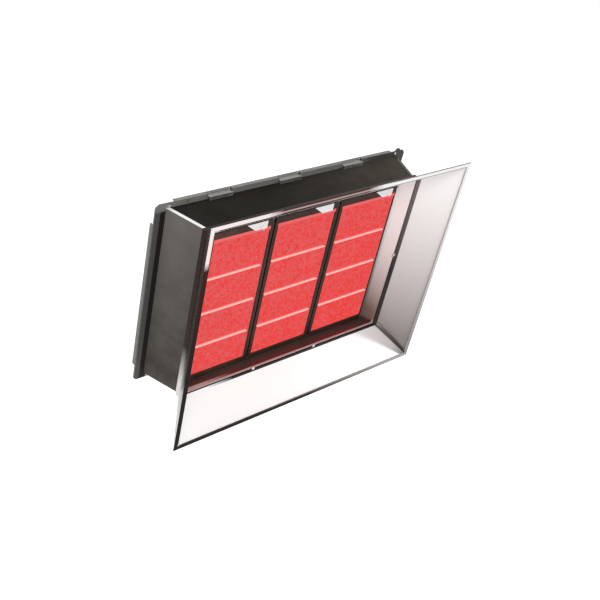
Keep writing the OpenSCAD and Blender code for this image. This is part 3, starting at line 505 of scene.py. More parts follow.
def bright_metal(name, base, rough=0.3, grain=(1.0, 14.0, 14.0), metal=1.0, scale=240.0):
    """Bright metal with a fine grain along one axis, and blurred handling marks."""
    f = Finish(name, base, metal, rough)
    lines = f.noise(scale, 4.0, 0.6, where=f.stretched(grain))
    marks = f.noise(38.0, 3.0)
    f.put("Base Color", f.mix(f.between(marks, 0.0, 0.3), base, toned(base, 0.78)))
    f.put("Roughness", f.between(lines, rough - 0.08, rough + 0.12))
    f.bump(lines, 0.00006, 0.4)
    return f.material


def corner_strip(name):
    """Corner strips of the casing: bright folded steel on the left, enamelled over on the right in the colour
    of the top's painted reflection.
    """
    f = Finish(name, (0.95, 0.95, 0.94), 0.3, 0.3)
    marks = f.noise(60.0, 3.0, where=f.stretched((14.0, 1.0, 14.0)))
    bright = f.mix(f.between(marks, 0.0, 0.3), (0.97, 0.97, 0.96), (0.78, 0.77, 0.75))
    f.put("Base Color", f.mix(f.ramp("X", -0.01, 0.01), bright, colours().casing_top_painted_reflection))
    f.put("Roughness", f.between(marks, 0.25, 0.45))
    f.bump(marks, 0.00006, 0.4)
    return f.material


def cast_metal(name, base, rough=0.5, metal=1.0):
    """Die-cast metal: a fine sandy skin with darker hollows."""
    f = Finish(name, base, metal, rough)
    sand = f.noise(700.0, 4.0, 0.6)
    f.put("Base Color", f.mix(f.between(sand, 0.0, 0.5), base, toned(base, 0.6)))
    f.put("Roughness", f.between(f.noise(120.0), rough - 0.06, rough + 0.12))
    f.bump(sand, 0.00025, 0.6)
    return f.material


def moulded(name, base, rough=0.5, texture=1100.0, depth=0.00008, coat=0.0):
    """Moulded plastic or rubber: an even fine texture and slightly uneven sheen."""
    f = Finish(name, base, 0.0, rough, {"Coat Weight": coat})
    skin = f.noise(texture, 3.0, 0.6)
    f.put("Base Color", f.mix(f.between(f.noise(45.0), 0.0, 0.5), base, toned(base, 0.7)))
    f.put("Roughness", f.between(skin, rough - 0.06, rough + 0.1))
    f.bump(skin, depth, 0.5)
    return f.material


def seam_arcs(f, out):
    """The dark arcs that the right panel mirrors along its lower seam: two thin ones and a wider one.

    out goes from 0 at the groove to 1 at the rim, where the seam lies lower. The arcs bow between the two.
    """
    seam = f.total(f.along("Z"), f.total(f.both(out, 0.0645), 0.187))
    bowed = f.total(seam, f.both(f.both(out, out), 0.008))
    belly = f.both(f.math("SUBTRACT", 1.0, out), f.both(out, 0.05))
    thick = f.share(f.math("SUBTRACT", seam, belly), 0.006, 0.003)
    thin = f.both(f.share(bowed, 0.012, 0.015), f.both(f.share(bowed, 0.023, 0.019), 0.6))
    return f.both(f.most(thin, thick), f.between(out, 0.6, 0.97))


def inside_shade(f, side, facing, dark):
    """The inner side of a hood panel: polished, duller where it mirrors the room in painted reflection, and
    dark at the groove in painted shade.
    """
    inside = colours().reflector
    groove = f.ramp("Y", HOOD_REAR - 0.0006, HOOD_REAR)
    if side == "right":
        # Painted reflection on the right panel: near white high up, darker low down, with the seam's dark
        # arcs, and a wider painted shade in the groove.
        fall = f.math("POWER", f.ramp("Z", 0.26, -0.2), 1.1)
        inside = f.mix(fall, (1.0, 0.995, 0.985), (0.27, 0.24, 0.23))
        inside = f.mix(seam_arcs(f, f.ramp("Y", HOOD_REAR, HOOD_RIM)), inside, dark)
        groove = f.most(groove, f.ramp("Y", HOOD_REAR - 0.0078, HOOD_REAR - 0.0068))
    if side == "bottom":
        # Painted reflection: a grey patch on the bottom panel towards the rim at the right.
        grey = f.both(f.ramp("X", 0.2, 0.37), f.ramp("Y", -0.39, HOOD_RIM))
        inside = f.mix(f.both(grey, 0.5), inside, (0.3, 0.29, 0.28))
        # Painted shade widens the groove's dark band on the bottom panel, fading out to the left.
        near = f.both(f.ramp("Y", HOOD_REAR - 0.0045, HOOD_REAR - 0.0038), f.ramp("X", -0.24, -0.16))
        groove = f.most(groove, near)
    # Painted shade in the groove: greyish brown high up to nearly black low down.
    deep = f.mix(f.ramp("Z", 0.28, 0.0), (0.2, 0.15, 0.15), (0.016, 0.01, 0.009))
    return f.mix(f.both(groove, f.share(facing["Y"], -0.97, -0.9)), inside, deep)


def rim_shade(f, side):
    """The turned-in rim's painted reflection and shade: dark low on the left, below and on part of the top,
    bright elsewhere.
    """
    if side == "left":
        low_part = f.mix(f.ramp("Z", 0.2, 0.0), (0.045, 0.012, 0.01), (0.012, 0.011, 0.01))
        return f.mix(f.ramp("Z", 0.265, 0.245), (0.98, 0.84, 0.82), low_part)
    if side == "bottom":
        return f.mix(f.ramp("X", 0.02, 0.3), (0.015, 0.013, 0.012), (0.42, 0.41, 0.4))
    if side == "right":
        return f.mix(f.ramp("Z", 0.2, -0.2), (0.9, 0.89, 0.88), (0.3, 0.29, 0.28))
    bright = f.mix(f.ramp("X", -0.1, 0.1), (0.95, 0.84, 0.82), (0.99, 0.98, 0.97))
    line = f.both(f.ramp("Z", 0.3395, 0.3405), f.ramp("Z", 0.3445, 0.3435))
    thin = f.mix(line, (0.07, 0.022, 0.02), (0.5, 0.36, 0.34))
    faded = f.both(f.ramp("X", -0.24, -0.2), f.ramp("X", 0.09, 0.04))
    edge = f.both(f.ramp("X", 0.08, 0.14), f.ramp("Z", 0.3445, 0.3458))
    return f.mix(edge, f.mix(faded, bright, thin), (0.4, 0.39, 0.38))


def reflector(name, side):
    """Polished reflector steel: bright inside, with painted reflection and shade that make it darker outside
    and on the turned-in rim.

    Outside faces are told from inside ones by the way they face, and each painted shade fades along the
    panel.
    """
    f = Finish(name, colours().reflector, 1.0, 0.25)
    facing = f.facing()
    dark, brown = (0.03, 0.026, 0.024), (0.05, 0.026, 0.022)
    # Painted reflection on the outside faces: brown high up fading to near white low down, and on the top
    # panel dark at the left, brown to the right.
    fall = f.ramp("Z", -0.04, -0.15)
    outside = f.mix(fall, brown, (0.97, 0.92, 0.9))
    soft_outside = 0.0
    if side == "left":
        out_share = f.share(facing["X"], -0.2, -0.5)
        soft_outside = f.both(fall, out_share)
    elif side == "top":
        outside = f.mix(f.ramp("X", -0.2, 0.3), dark, brown)
        out_share = f.most(f.share(facing["Z"], 0.3, 0.5), f.ramp("Z", 0.273, 0.271))
    elif side == "bottom":
        out_share = f.both(f.share(facing["Z"], -0.9, -0.95), 0.3)
    else:
        out_share = 0.0
    shade = f.mix(out_share, inside_shade(f, side, facing, dark), outside)
    turned_in = f.both(f.share(facing["Y"], -0.9, -0.97), f.ramp("Y", HOOD_RIM + 0.0015, HOOD_RIM))
    f.put("Base Color", f.mix(turned_in, shade, rim_shade(f, side)))
    metallic = {"right": 0.15, "bottom": 0.4}.get(side, 1.0)
    f.put("Metallic", f.between(f.most(turned_in, soft_outside), metallic, 0.2))
    f.put("Specular IOR Level", f.between(turned_in, 0.5, 0.06))
    grain = (14.0, 1.0, 1.0) if side in ("left", "right") else (1.0, 14.0, 14.0)
    lines = f.noise(420.0, 3.0, 0.6, where=f.stretched(grain))
    f.put("Roughness", f.between(f.both(lines, f.noise(7.0, 3.0)), 0.16, 0.4))
    f.bump(f.noise(3.2, 1.0), 0.004, 0.35)
    return f.material


def rolled_hem(name):
    """Rolled hem of the rim: nearly black on the left and grey on the right in painted shade, and finely
    mottled.
    """
    f = Finish(name, (0.4, 0.39, 0.38), 0.1, 0.4, {"Specular IOR Level": 0.1})
    specks = f.noise(300.0, 3.0)
    grey = f.mix(f.between(specks, 0.0, 0.4), (0.42, 0.41, 0.4), (0.3, 0.29, 0.285))
    f.put("Base Color", f.mix(f.ramp("X", -0.15, 0.25), (0.02, 0.014, 0.013), grey))
    f.put("Roughness", f.between(specks, 0.3, 0.5))
    return f.material


def collar_steel(name):
    """Collar steel in painted reflection and shade: bright near the top, brown towards the bottom, and on its
    floor a pale front edge with darker steel behind it.
    """
    f = Finish(name, colours().reflector, 0.85, 0.3)
    fall = f.ramp("Z", 0.2, -0.14)
    haze = f.noise(16.0, 4.0)
    warm = f.mix(f.between(haze, 0.0, 0.5), (1.0, 1.0, 0.995), (0.93, 0.9, 0.89))
    shade = f.mix(f.math("POWER", fall, 1.7), warm, (0.22, 0.15, 0.125))
    # On the collar's floor: a pale front edge in painted light, then a dark red band and darker steel behind
    # it in painted shade.
    floor = f.ramp("Z", -0.168, -0.178)
    ahead = f.ramp("Y", -0.3215, -0.3225)
    red = f.mix(ahead, colours().collar_floor_shade, (0.1, 0.016, 0.016))
    front = f.most(f.ramp("Y", -0.3285, -0.3295), f.both(ahead, f.ramp("X", -0.16, -0.25)))
    f.put("Base Color", f.mix(floor, shade, f.mix(front, red, (0.45, 0.4, 0.385))))
    f.put("Metallic", f.between(floor, 0.25, 0.15))
    f.put("Roughness", f.between(haze, 0.2, 0.45))
    f.bump(f.noise(5.0, 1.0), 0.002, 0.3)
    return f.material


def glowing_plate(name):
    """Glowing ceramic: fine burner holes in a hexagonal net, mottled, and hotter towards the lower right.

    Three cosine waves at 60 degrees to each other add up, and a hole is where their sum is high.
    """
    c = colours()
    cold, hole_dark = (0.03, 0.005, 0.005), (0.01, 0.002, 0.002)
    f = Finish(name, cold, 0.0, 0.85, {"Specular IOR Level": 0.05})
    hole_pitch = 0.0024
    turns = 2 * np.pi / hole_pitch
    x = f.both(f.both(f.along("X"), turns), np.sqrt(0.75))
    z = f.both(f.along("Z"), turns * 0.5)
    slanted = f.total(f.math("COSINE", f.total(x, z)), f.math("COSINE", f.math("SUBTRACT", x, z)))
    holes = f.share(f.total(f.math("COSINE", f.both(z, 2.0)), slanted), 1.2, 2.4)
    mottle = f.noise(165.0, 4.0, 0.72)
    cells = f.add("TexVoronoi", {"Vector": f.where, "Scale": 95.0}, feature="DISTANCE_TO_EDGE")
    crackle = cells.outputs["Distance"]
    cloud = f.noise(22.0, 3.0)
    heat = f.both(f.total(f.ramp("X", -0.25, 0.42), f.ramp("Z", 0.16, -0.28)), 0.5)
    shade = f.mix(f.share(heat, 0.25, 0.95), c.glow, c.glow_hot)
    shade = f.mix(f.both(f.share(mottle, 0.46, 0.66), 0.9), shade, c.glow_pale)
    shade = f.mix(f.both(f.share(crackle, 0.12, 0.0), 0.35), shade, c.glow_hot)
    shade = f.mix(f.between(cloud, 0.0, 0.45), shade, toned(c.glow, 0.8))
    shade = f.mix(f.both(f.share(mottle, 0.5, 0.38), 0.9), shade, c.glow_hot)
    shade = f.mix(f.both(f.share(mottle, 0.42, 0.34), 0.8), shade, toned(c.glow, 0.62))
    shade = f.mix(f.both(holes, 0.25), shade, c.glow_hot)
    f.put("Emission Color", shade)
    f.put("Emission Strength", 1.02)
    f.put("Base Color", f.mix(holes, cold, hole_dark))
    f.bump(f.both(holes, -1.0), 0.0008, 0.4)
    return f.material


def glowing_strip(name):
    """Pale glowing strip: nearly white-hot at its front, and as red as the plates at its foot."""
    c = colours()
    f = Finish(name, (0.3, 0.1, 0.09), 0.0, 0.6)
    uneven = f.noise(90.0, 3.0)
    pale = f.mix(uneven, c.strip_glow, toned(c.strip_glow, 0.84))
    f.put("Emission Color", f.mix(f.ramp("Y", -0.3025, -0.3015), pale, c.glow))
    f.put("Emission Strength", 0.95)
    f.bump(uneven, 0.0003, 0.4)
    return f.material


def hot_electrode(name):
    """Electrode: glazed white insulator above, and a pin with a painted glow below the windows' top edge."""
    f = Finish(name, (0.97, 0.96, 0.95), 0.0, 0.4)
    skin = f.noise(500.0, 3.0, 0.6)
    hot = f.ramp("Z", HOT_EDGE + 0.009, HOT_EDGE + 0.008)
    f.put("Base Color", f.mix(hot, f.mix(skin, (0.99, 0.98, 0.97), (0.9, 0.89, 0.87)), (0.05, 0.01, 0.01)))
    f.put("Emission Color", f.mix(skin, colours().glow, colours().glow_pale))
    f.put("Emission Strength", hot)
    f.bump(skin, 0.00003, 0.5)
    return f.material


def browned(name, base):
    """Burner rim steel that the heat has browned: cloudy, darker to the right, with a painted red glow over
    the plates.

    The right rim's outer edge carries a painted reflection, bright high up and dark low down, as the collar
    beside it does.
    """
    f = Finish(name, base, 0.6, 0.42)
    cloud = f.noise(26.0, 5.0)
    warm = f.mix(f.ramp("X", -0.28, -0.05), toned(base, 2.6), toned(base, 1.3))
    dark = f.mix(f.share(cloud, 0.35, 0.7), base, warm)
    # Painted reflection on the right rim's outer edge: bright high up, dark low down.
    bright = f.ramp("X", 0.2885, 0.2892)
    edge = f.mix(f.ramp("Z", 0.2, -0.1), (0.9, 0.84, 0.84), (0.16, 0.13, 0.12))
    f.put("Base Color", f.mix(bright, dark, edge))
    f.put("Metallic", f.between(bright, 0.6, 0.3))
    f.put("Roughness", f.between(cloud, 0.34, 0.58))
    # Painted glow: a band just above each window's top edge glows like the plates.
    hot = f.both(f.ramp("Z", HOT_EDGE + 0.0085, HOT_EDGE + 0.0075),
                 f.ramp("Z", HOT_EDGE - 0.002, HOT_EDGE))
    from_middle = f.math("PINGPONG", f.along("X"), BURNERS["right"] * MM / 2)
    hot = f.both(hot, f.share(from_middle, 0.0885, 0.0875))
    mottle = f.noise(135.0, 4.0, 0.72)
    f.put("Emission Color", f.mix(f.between(mottle, 0.0, 0.6), colours().glow, colours().glow_pale))
    f.put("Emission Strength", hot)
    f.bump(f.noise(500.0, 3.0), 0.00008, 0.5)
    return f.material


def fibre(name):
    """Pressed fibre: short matted strands in off-white."""
    f = Finish(name, (0.75, 0.71, 0.62), 0.0, 0.9)
    strands = f.noise(500.0, 6.0, 0.7)
    f.put("Base Color", f.mix(strands, (0.82, 0.79, 0.72), (0.55, 0.5, 0.42)))
    f.bump(strands, 0.0006, 0.8)
    return f.material


def circuit_board(name):
    """Green board: small fields in two greens, with lighter lines between them."""
    f = Finish(name, (0.03, 0.2, 0.07), 0.0, 0.35)
    net = f.add("TexBrick", {"Vector": f.stretched((180.0, 180.0, 180.0)), "Mortar Size": 0.04,
                             "Color1": (0.02, 0.16, 0.05), "Color2": (0.03, 0.22, 0.08),
                             "Mortar": (0.06, 0.3, 0.1)})
    f.put("Base Color", net.outputs["Color"])
    f.bump(net.outputs["Fac"], 0.00005, 0.5)
    return f.material


FINISHES = {}


def finish(name):
    """A finish by its name, made once."""
    if name not in FINISHES:
        c = colours()
        makers = {
            # The casing enamels fade in painted reflection along the top and in painted shade down the sides.
            "casing_top_enamel": lambda n: enamel(n, c.casing_top, c.casing_top_painted_reflection, "X", -0.05, 0.34,
                                                  0.55, 0.03),
            "casing_side_enamel": lambda n: enamel(n, c.casing_side, c.casing_side_low_painted_shade, "Z", 0.24, -0.15),
            "frame_zinc": frame_steel,
            "panel_zinc": lambda n: zinc_sheet(n, toned(c.frame_zinc, 1.2), 0.4, 0.7),
            "reflector_left": lambda n: reflector(n, "left"),
            "reflector_right": lambda n: reflector(n, "right"),
            "reflector_top": lambda n: reflector(n, "top"),
            "reflector_bottom": lambda n: reflector(n, "bottom"),
            "collar_steel": collar_steel,
            "rolled_hem": rolled_hem,
            "corner_strip": corner_strip,
            # Clip steel: white and not metallic, a painted highlight for the clips' bright sheen.
            "clip_steel": lambda n: bright_metal(n, (1.0, 0.995, 0.99), 0.35, (1.0, 14.0, 14.0), 0.0),
            "glowing_ceramic": glowing_plate,
            "glowing_strip": glowing_strip,
            "browned_rim": lambda n: browned(n, c.bezel),
            "pan_steel": lambda n: bright_metal(n, (0.36, 0.33, 0.31), 0.42),
            "fibre_gasket": fibre,
            "cast_aluminium": lambda n: cast_metal(n, (0.62, 0.61, 0.59)),
            "brass": lambda n: bright_metal(n, c.brass, 0.28, (1.0, 9.0, 9.0)),
            "zinc_fastener": lambda n: bright_metal(n, c.zinc, 0.3, (5.0, 5.0, 5.0), 1.0, 400.0),
            "gas_pipe": lambda n: bright_metal(n, (0.5, 0.49, 0.46), 0.36, (1.0, 12.0, 12.0)),
            "black_coat": lambda n: moulded(n, c.black_coat, 0.45, 800.0, 0.0001),
            "coil_plastic": lambda n: moulded(n, (0.018, 0.018, 0.02), 0.4),
            "rubber": lambda n: moulded(n, (0.02, 0.02, 0.02), 0.75, 600.0, 0.0002),
            "gland_plastic": lambda n: moulded(n, (0.02, 0.02, 0.022), 0.5),
            "box_paint": lambda n: moulded(n, c.box_paint, 0.4, 700.0, 0.0001, 0.1),
            "lever_sleeve": lambda n: moulded(n, c.lever, 0.35, 900.0, 0.00006, 0.3),
            "button_plastic": lambda n: moulded(n, c.button, 0.3, 1200.0, 0.00004, 0.4),
            "hot_electrode": hot_electrode,
            "board_green": circuit_board,
        }
        FINISHES[name] = makers[name](name)
    return FINISHES[name]


def paint(finish_name, *nodes):
    """Gives the material slots of CAD nodes a finish."""
    for node in nodes:
        for slot in NODES[node].material_slots:
            slot.material = finish(finish_name)
        NODES[node].data.update()


# The heater's parts


class HEATER_OT_casing(bpy.types.Operator):
    """Enamels the casing, its corner strips and the rear frame, and adds the frame's screw heads"""

    bl_idname = "heater.casing"
    bl_label = "Casing and rear frame"

    def execute(self, context):
        paint("casing_top_enamel", "housing_top", "housing_bottom")
        paint("casing_side_enamel", "housing_left", "housing_right")
        paint("corner_strip", "edge_strips")
        paint("frame_zinc", "rear_frame")
        paint("panel_zinc", "rear_panel", "support_rail", "pivot_ears")
        a, b = low("frame_screws"), high("frame_screws")
        r, dome, shank_r, shank_l = 3.6, 1.4, 2.0, 8.4
        shank = [(0, 0), (shank_r, 0), (shank_r, -shank_l), (0, -shank_l)]
        heads = []
        for x in (a[0] + r, b[0] - r):
            for z in (a[2] + r, b[2] - r):
                heads.append(screw_head((x, a[1] + dome, z), (0, -1, 0), r, dome))
                heads.append(turned(shank, (x, a[1] + dome, z), (0, -1, 0), sides=24))
        piece("frame_screw_heads", heads, "zinc_fastener", "heater",
              replaces=("frame_screws",))
        # Dark rubber beads at the ends of the tab slots close the gaps there, standing in for the shade in
        # the slots.
        top = 2 * LIFT - low("rear_frame")[2]
        tab_shift, slot_end, bead_y, bead_drop = -10.0, 32.45, 77.4, 2.9
        beads = []
        for x in BURNERS.values():
            for side in (-1, 1):
                place = (x + tab_shift + side * slot_end, bead_y - WALL_REACH, top - bead_drop)
                beads.append(slab_part(place, size=(1.3, 7.0, 5.0), round_by=0.3))
        piece("slot_beads", beads, "rubber", "heater")
        return {"FINISHED"}


class HEATER_OT_hood(bpy.types.Operator):
    """Polishes the hood and the collar and rolls their hems"""

    bl_idname = "heater.hood"
    bl_label = "Hood and collar"

    def edges(self, inset):
        """The four straight inner edges of the turned-in rim, corner to corner."""
        x0, x1 = low("hood_left")[0] + inset, high("hood_right")[0] - inset
        z0, z1 = low("hood_bottom")[2] + inset, high("hood_top")[2] - inset
        sunk = 0.6
        y = low("hood_left")[1] + sunk
        corners = np.array([(x0, y, z1), (x1, y, z1), (x1, y, z0), (x0, y, z0)])
        return zip(("top", "right", "bottom", "left"), corners, np.roll(corners, -1, 0))

    def execute(self, context):
        for side in ("left", "right", "top", "bottom"):
            paint("reflector_" + side, "hood_" + side)
        paint("collar_steel", "inner_collar")
        r = trim().hem / MM
        turned_in, count = 10.0, 60
        for side, start, end in self.edges(turned_in + r / 2):
            hem = tube(np.linspace(start, end, count), r, sides=8, swell=round_ends(count, 0.004))
            piece("rim_hem_" + side, [hem], "rolled_hem", "heater")
        r = trim().collar_hem / MM
        half_w, half_h, front, corner = 311.2, 222.4, -33.0, 3.0
        path = placed(loop_path(half_w - r, -half_h + r, half_h - r, corner, front - r / 2))
        hem = tube(path, r, sides=8, closed=True)
        piece("collar_hem", [hem], "collar_steel", "heater")
        return {"FINISHED"}


def plate(x0, z0, pitch, depth):
    """A ceramic plate: the product of two cosine waves makes rows of dimples, which fade out at the edges.

    Its edge is a quarter circle, straight sides go back from it, and a flat fan closes the back.
    """
    steps, plain, fade, edge_r = 5, 2.0, 3.0, 1.0
    nu, nv = int(PLATE_W / pitch) * steps, int(PLATE_H / pitch) * steps
    u = np.linspace(-PLATE_W / 2, PLATE_W / 2, nu)[:, None] + np.zeros((1, nv))
    v = np.linspace(-PLATE_H / 2, PLATE_H / 2, nv)[None, :] + np.zeros((nu, 1))
    wave = (0.5 - 0.5 * np.cos(2 * np.pi * u / pitch)) * (0.5 - 0.5 * np.cos(2 * np.pi * v / pitch))
    edge = np.minimum(PLATE_W / 2 - np.abs(u), PLATE_H / 2 - np.abs(v))
    dimples = depth * wave * np.clip((edge - plain) / fade, 0, 1)
    past_edge = np.clip(edge_r - edge, 0, edge_r)
    y = dimples + edge_r - np.sqrt(np.clip(edge_r ** 2 - past_edge ** 2, 0, None))
    front = np.stack([x0 + u, y, z0 + v], -1)
    outline = np.concatenate([front[:, 0], front[-1, 1:], front[-2::-1, -1], front[0, -2:0:-1]])
    back = outline.copy()
    back[:, 1] = PLATE_T
    sides = np.stack([outline, back], 1)
    lid = np.stack([back, np.broadcast_to([x0, PLATE_T, z0], back.shape)], 1)
    return [surface(front), surface(sides, wrap_u=True), surface(lid, wrap_u=True)]


class HEATER_OT_burners(bpy.types.Operator):
    """Makes the dimpled ceramic plates and the rolled window edges, and finishes the burners"""

    bl_idname = "heater.burners"
    bl_label = "Burners"

    def execute(self, context):
        t = trim()
        paint("browned_rim", "bezel_left", "bezel_middle", "bezel_right")
        paint("glowing_strip", "joint_strips")
        paint("clip_steel", "burner_clips")
        paint("fibre_gasket", "plate_gaskets")
        paint("pan_steel", "burner_pan_left", "burner_pan_middle", "burner_pan_right")
        paint("pan_steel", "baffle_plates", "burner_rails")
        paint("hot_electrode", "electrodes")
        half_w, bottom, top, corner, front = 87.5, -183.0, 188.5, 1.5, -2.0
        for name, x in BURNERS.items():
            parts = []
            for k in range(4):
                z = BURNER_MIDDLE + (k - 1.5) * PLATE_PITCH
                for points, faces in plate(x, z, t.dimple_pitch / MM, t.dimple_depth / MM):
                    parts.append((placed(points), faces))
            piece("ceramic_" + name, parts, "glowing_ceramic", "heater", smooth=60.0,
                  replaces=("plates_" + name,))
            r = t.window_hem / MM
            ring = loop_path(half_w + r, bottom - r, top + r, corner, front, per_corner=4)
            ring += np.array([x, 0.0, BURNER_MIDDLE])
            hem = tube(placed(ring), r, sides=8, closed=True)
            piece("window_edge_" + name, [hem], "browned_rim", "heater")
        return {"FINISHED"}


class HEATER_OT_back(bpy.types.Operator):
    """Presses ribs into the rear panel and adds the straps over the gas rail"""

    bl_idname = "heater.back"
    bl_label = "Rear panel and gas rail"

    def execute(self, context):
        t = trim()
        panel_y, width = 77.5, 9.0
        right, left, beside_box = 330, -330, -120
        parts = []
        for x0, x1, z in ((beside_box, right, 130), (beside_box, right, 100), (left, right, -190),
                          (left, right, -215), (beside_box, right, 190), (left, beside_box - 20, 190)):
            start, end = placed((x0, panel_y, z)), placed((x1, panel_y, z))
            parts.append(ridge(start, end, (0, 0, 1), (0, 1, 0), width, height=t.rib / MM, count=40))
        piece("panel_ribs", parts, "panel_zinc", "heater")
        rail_r, strap_w, strap_x, play, screw_rise, screw_out = 11.0, 12.0, 58.0, 0.02, 5.7, 13.4
        axis_y, axis_z = high("gas_rail")[1] - rail_r, middle("gas_rail")[2]
        angle = np.linspace(0, np.pi, 24)[:, None]
        wide = strap_w * np.array([[-0.5, 0.5, 0.5, -0.5]])
        inner, outer = rail_r + play, rail_r + t.strap / MM
        reach = np.array([[inner, inner, outer, outer]])
        parts = []
        for x in (-strap_x, strap_x):
            arch = [x + wide + 0 * angle, axis_y + reach * np.sin(angle), axis_z + reach * np.cos(angle)]
            parts.append(surface(np.stack(arch, -1), wrap_v=True))
            for side in (-1, 1):
                place = (x, axis_y + screw_rise, axis_z + side * screw_out)
                parts.append(screw_head(place, (0, 1, 0), radius=2.6, height=1.6))
        piece("rail_straps", parts, "zinc_fastener", "heater")
        paint("gas_pipe", "gas_rail")
        paint("zinc_fastener", "rail_saddles")
        paint("brass", "rail_plug", "rail_union", "injectors")
        paint("cast_aluminium", "venturi_tubes")
        return {"FINISHED"}


class HEATER_OT_valve(bpy.types.Operator):
    """Finishes the valve and adds the coil's ribs and terminals"""

    bl_idname = "heater.valve"
    bl_label = "Gas valve"

    def execute(self, context):
        paint("cast_aluminium", "valve_body")
        paint("brass", "valve_tube")
        paint("coil_plastic", "valve_coil")
        paint("zinc_fastener", "coil_yoke", "coil_nut", "valve_plunger", "valve_spring")
        paint("rubber", "valve_seal")
        coil = middle("valve_coil")
        top, bottom = high("valve_coil")[2], low("valve_coil")[2]
        ring = np.linspace(0, 2 * np.pi, 48, endpoint=False)
        coil_r, margin, ribs, rib_r, socket_y, tabs_y = 21.0, 4, 7, 0.5, 25.0, 33.0
        parts = []
        for z in np.linspace(bottom + margin, top - margin, ribs):
            path = [coil[0] + coil_r * np.cos(ring), coil[1] + coil_r * np.sin(ring), np.full(48, z)]
            parts.append(tube(np.stack(path, 1), rib_r, sides=6, closed=True))
        parts.append(slab_part((coil[0], coil[1] + socket_y, coil[2]), size=(24.0, 10.0, 26.0)))
        piece("coil_jacket", parts, "coil_plastic", "heater")
        thick, wide, long = 0.8, 6.3, 8.0
        places = ((-5.0, 4.0, thick, wide), (5.0, 4.0, thick, wide), (0.0, -6.0, wide, thick))
        tabs = [slab_part((coil[0] + x, coil[1] + tabs_y, coil[2] + z), size=(w, long, h), round_by=0.4)
                for x, z, w, h in places]
        piece("coil_terminals", tabs, "zinc_fastener", "heater")
        return {"FINISHED"}


class HEATER_OT_tap(bpy.types.Operator):
    """Cuts the inlet's thread and puts the sleeve on the tap lever"""

    bl_idname = "heater.tap"
    bl_label = "Ball tap"

    def execute(self, context):
        t = trim()
        paint("brass", "tap_body")
        paint("zinc_fastener", "tap_ball", "tap_stem", "tap_nut")
        paint("lever_sleeve", "tap_lever")
        gas_line = placed((0, 160, -120))
        centre = (high("tap_body")[0], gas_line[1], gas_line[2])
        pitch, deep = t.thread_pitch / MM, t.thread_depth / MM
        thread_l, run_out, thread_r, rows = 16.2, 1.2, 10.32, 120

        def helix(angle, radius, rise):
            """A thread: its height goes up and down once a turn, and fades out at both ends."""
            turn = (rise / pitch + angle / (2 * np.pi)) % 1.0
            fade = (np.clip((-rise - run_out / 2) / run_out, 0, 1)
                    * np.clip((rise + thread_l - run_out / 2) / run_out, 0, 1))
            return radius + deep * (1 - np.abs(2 * turn - 1)) * fade

        profile = np.stack([np.full(rows, thread_r), np.linspace(0.3 - thread_l, -0.1, rows)], 1)
        thread = turned(profile, centre, (1, 0, 0), radius_of=helix)
        piece("inlet_thread", [thread], "brass", "heater", smooth=60.0)
        start, mid = low("tap_lever")[0], middle("tap_lever")
        count, sleeve_l, half_y, half_z = 40, 44.0, 2.6, 8.0
        x = np.linspace(start + 0.1, start + sleeve_l, count)
        swell = round_ends(count, 0.1)
        grip = 1 + 0.05 * np.sin(x * 1.1)
        angle = np.linspace(0, 2 * np.pi, 24, endpoint=False)
        y = half_y * np.sign(np.sin(angle)) * np.abs(np.sin(angle)) ** 0.5
        z = half_z * np.sign(np.cos(angle)) * np.abs(np.cos(angle)) ** 0.5
        shape = np.stack([x[:, None] + 0 * angle[None], mid[1] + y[None] * (swell * grip)[:, None],
                          mid[2] + z[None] * swell[:, None]], -1)
        sleeve = surface(shape, wrap_v=True)
        piece("lever_sleeve", [sleeve], "lever_sleeve", "tap", smooth=60.0)
        return {"FINISHED"}


class HEATER_OT_control_box(bpy.types.Operator):
    """Finishes the control box and adds its lid screws, button collar and gland nut"""

    bl_idname = "heater.control_box"
    bl_label = "Control box"

    def execute(self, context):
        paint("box_paint", "control_box", "control_lid")
        paint("board_green", "control_board")
        paint("button_plastic", "reset_button")
        paint("zinc_fastener", "button_spring")
        a, b = low("control_lid"), high("control_lid")
        inset, sunk = 8, 0.05
        heads = [screw_head((x, b[1] - sunk, z), (0, 1, 0), radius=3.2, height=1.8)
                 for x in (a[0] + inset, b[0] - inset) for z in (a[2] + inset, b[2] - inset)]
        piece("lid_screws", heads, "zinc_fastener", "heater")
        button = middle("reset_button")
        floor = low("control_box")[2]
        ring = [(6.2, 0.0), (6.2, 2.2), (8.2, 2.2), (9.4, 1.4), (9.4, 0.0)]
        collar = turned(ring, (button[0], button[1], floor), (0, 0, -1), sides=40)
        gland = middle("cable_gland")
        base = low("cable_gland")[2]
        outline = [(4.0, -0.3), (5.2, -0.9), (7.6, -0.3), (8.6, 1.4), (8.9, 4.0), (9.9, 4.2), (9.9, 13.9)]
        grip_deep, grips, cap_h = 0.018, 16, 4.1

        def gripped(angle, radius, rise):
            """The nut's cap: a cosine wave round it makes its grips."""
            return radius * (1 + grip_deep * np.cos(grips * angle) * (rise < cap_h))

        nut = turned(outline, (gland[0], gland[1], base), (0, 0, 1), radius_of=gripped)
        piece("button_collar", [collar], "gland_plastic", "heater")
        piece("gland_nut", [nut], "gland_plastic", "heater")
        paint("gland_plastic", "cable_gland")
        return {"FINISHED"}


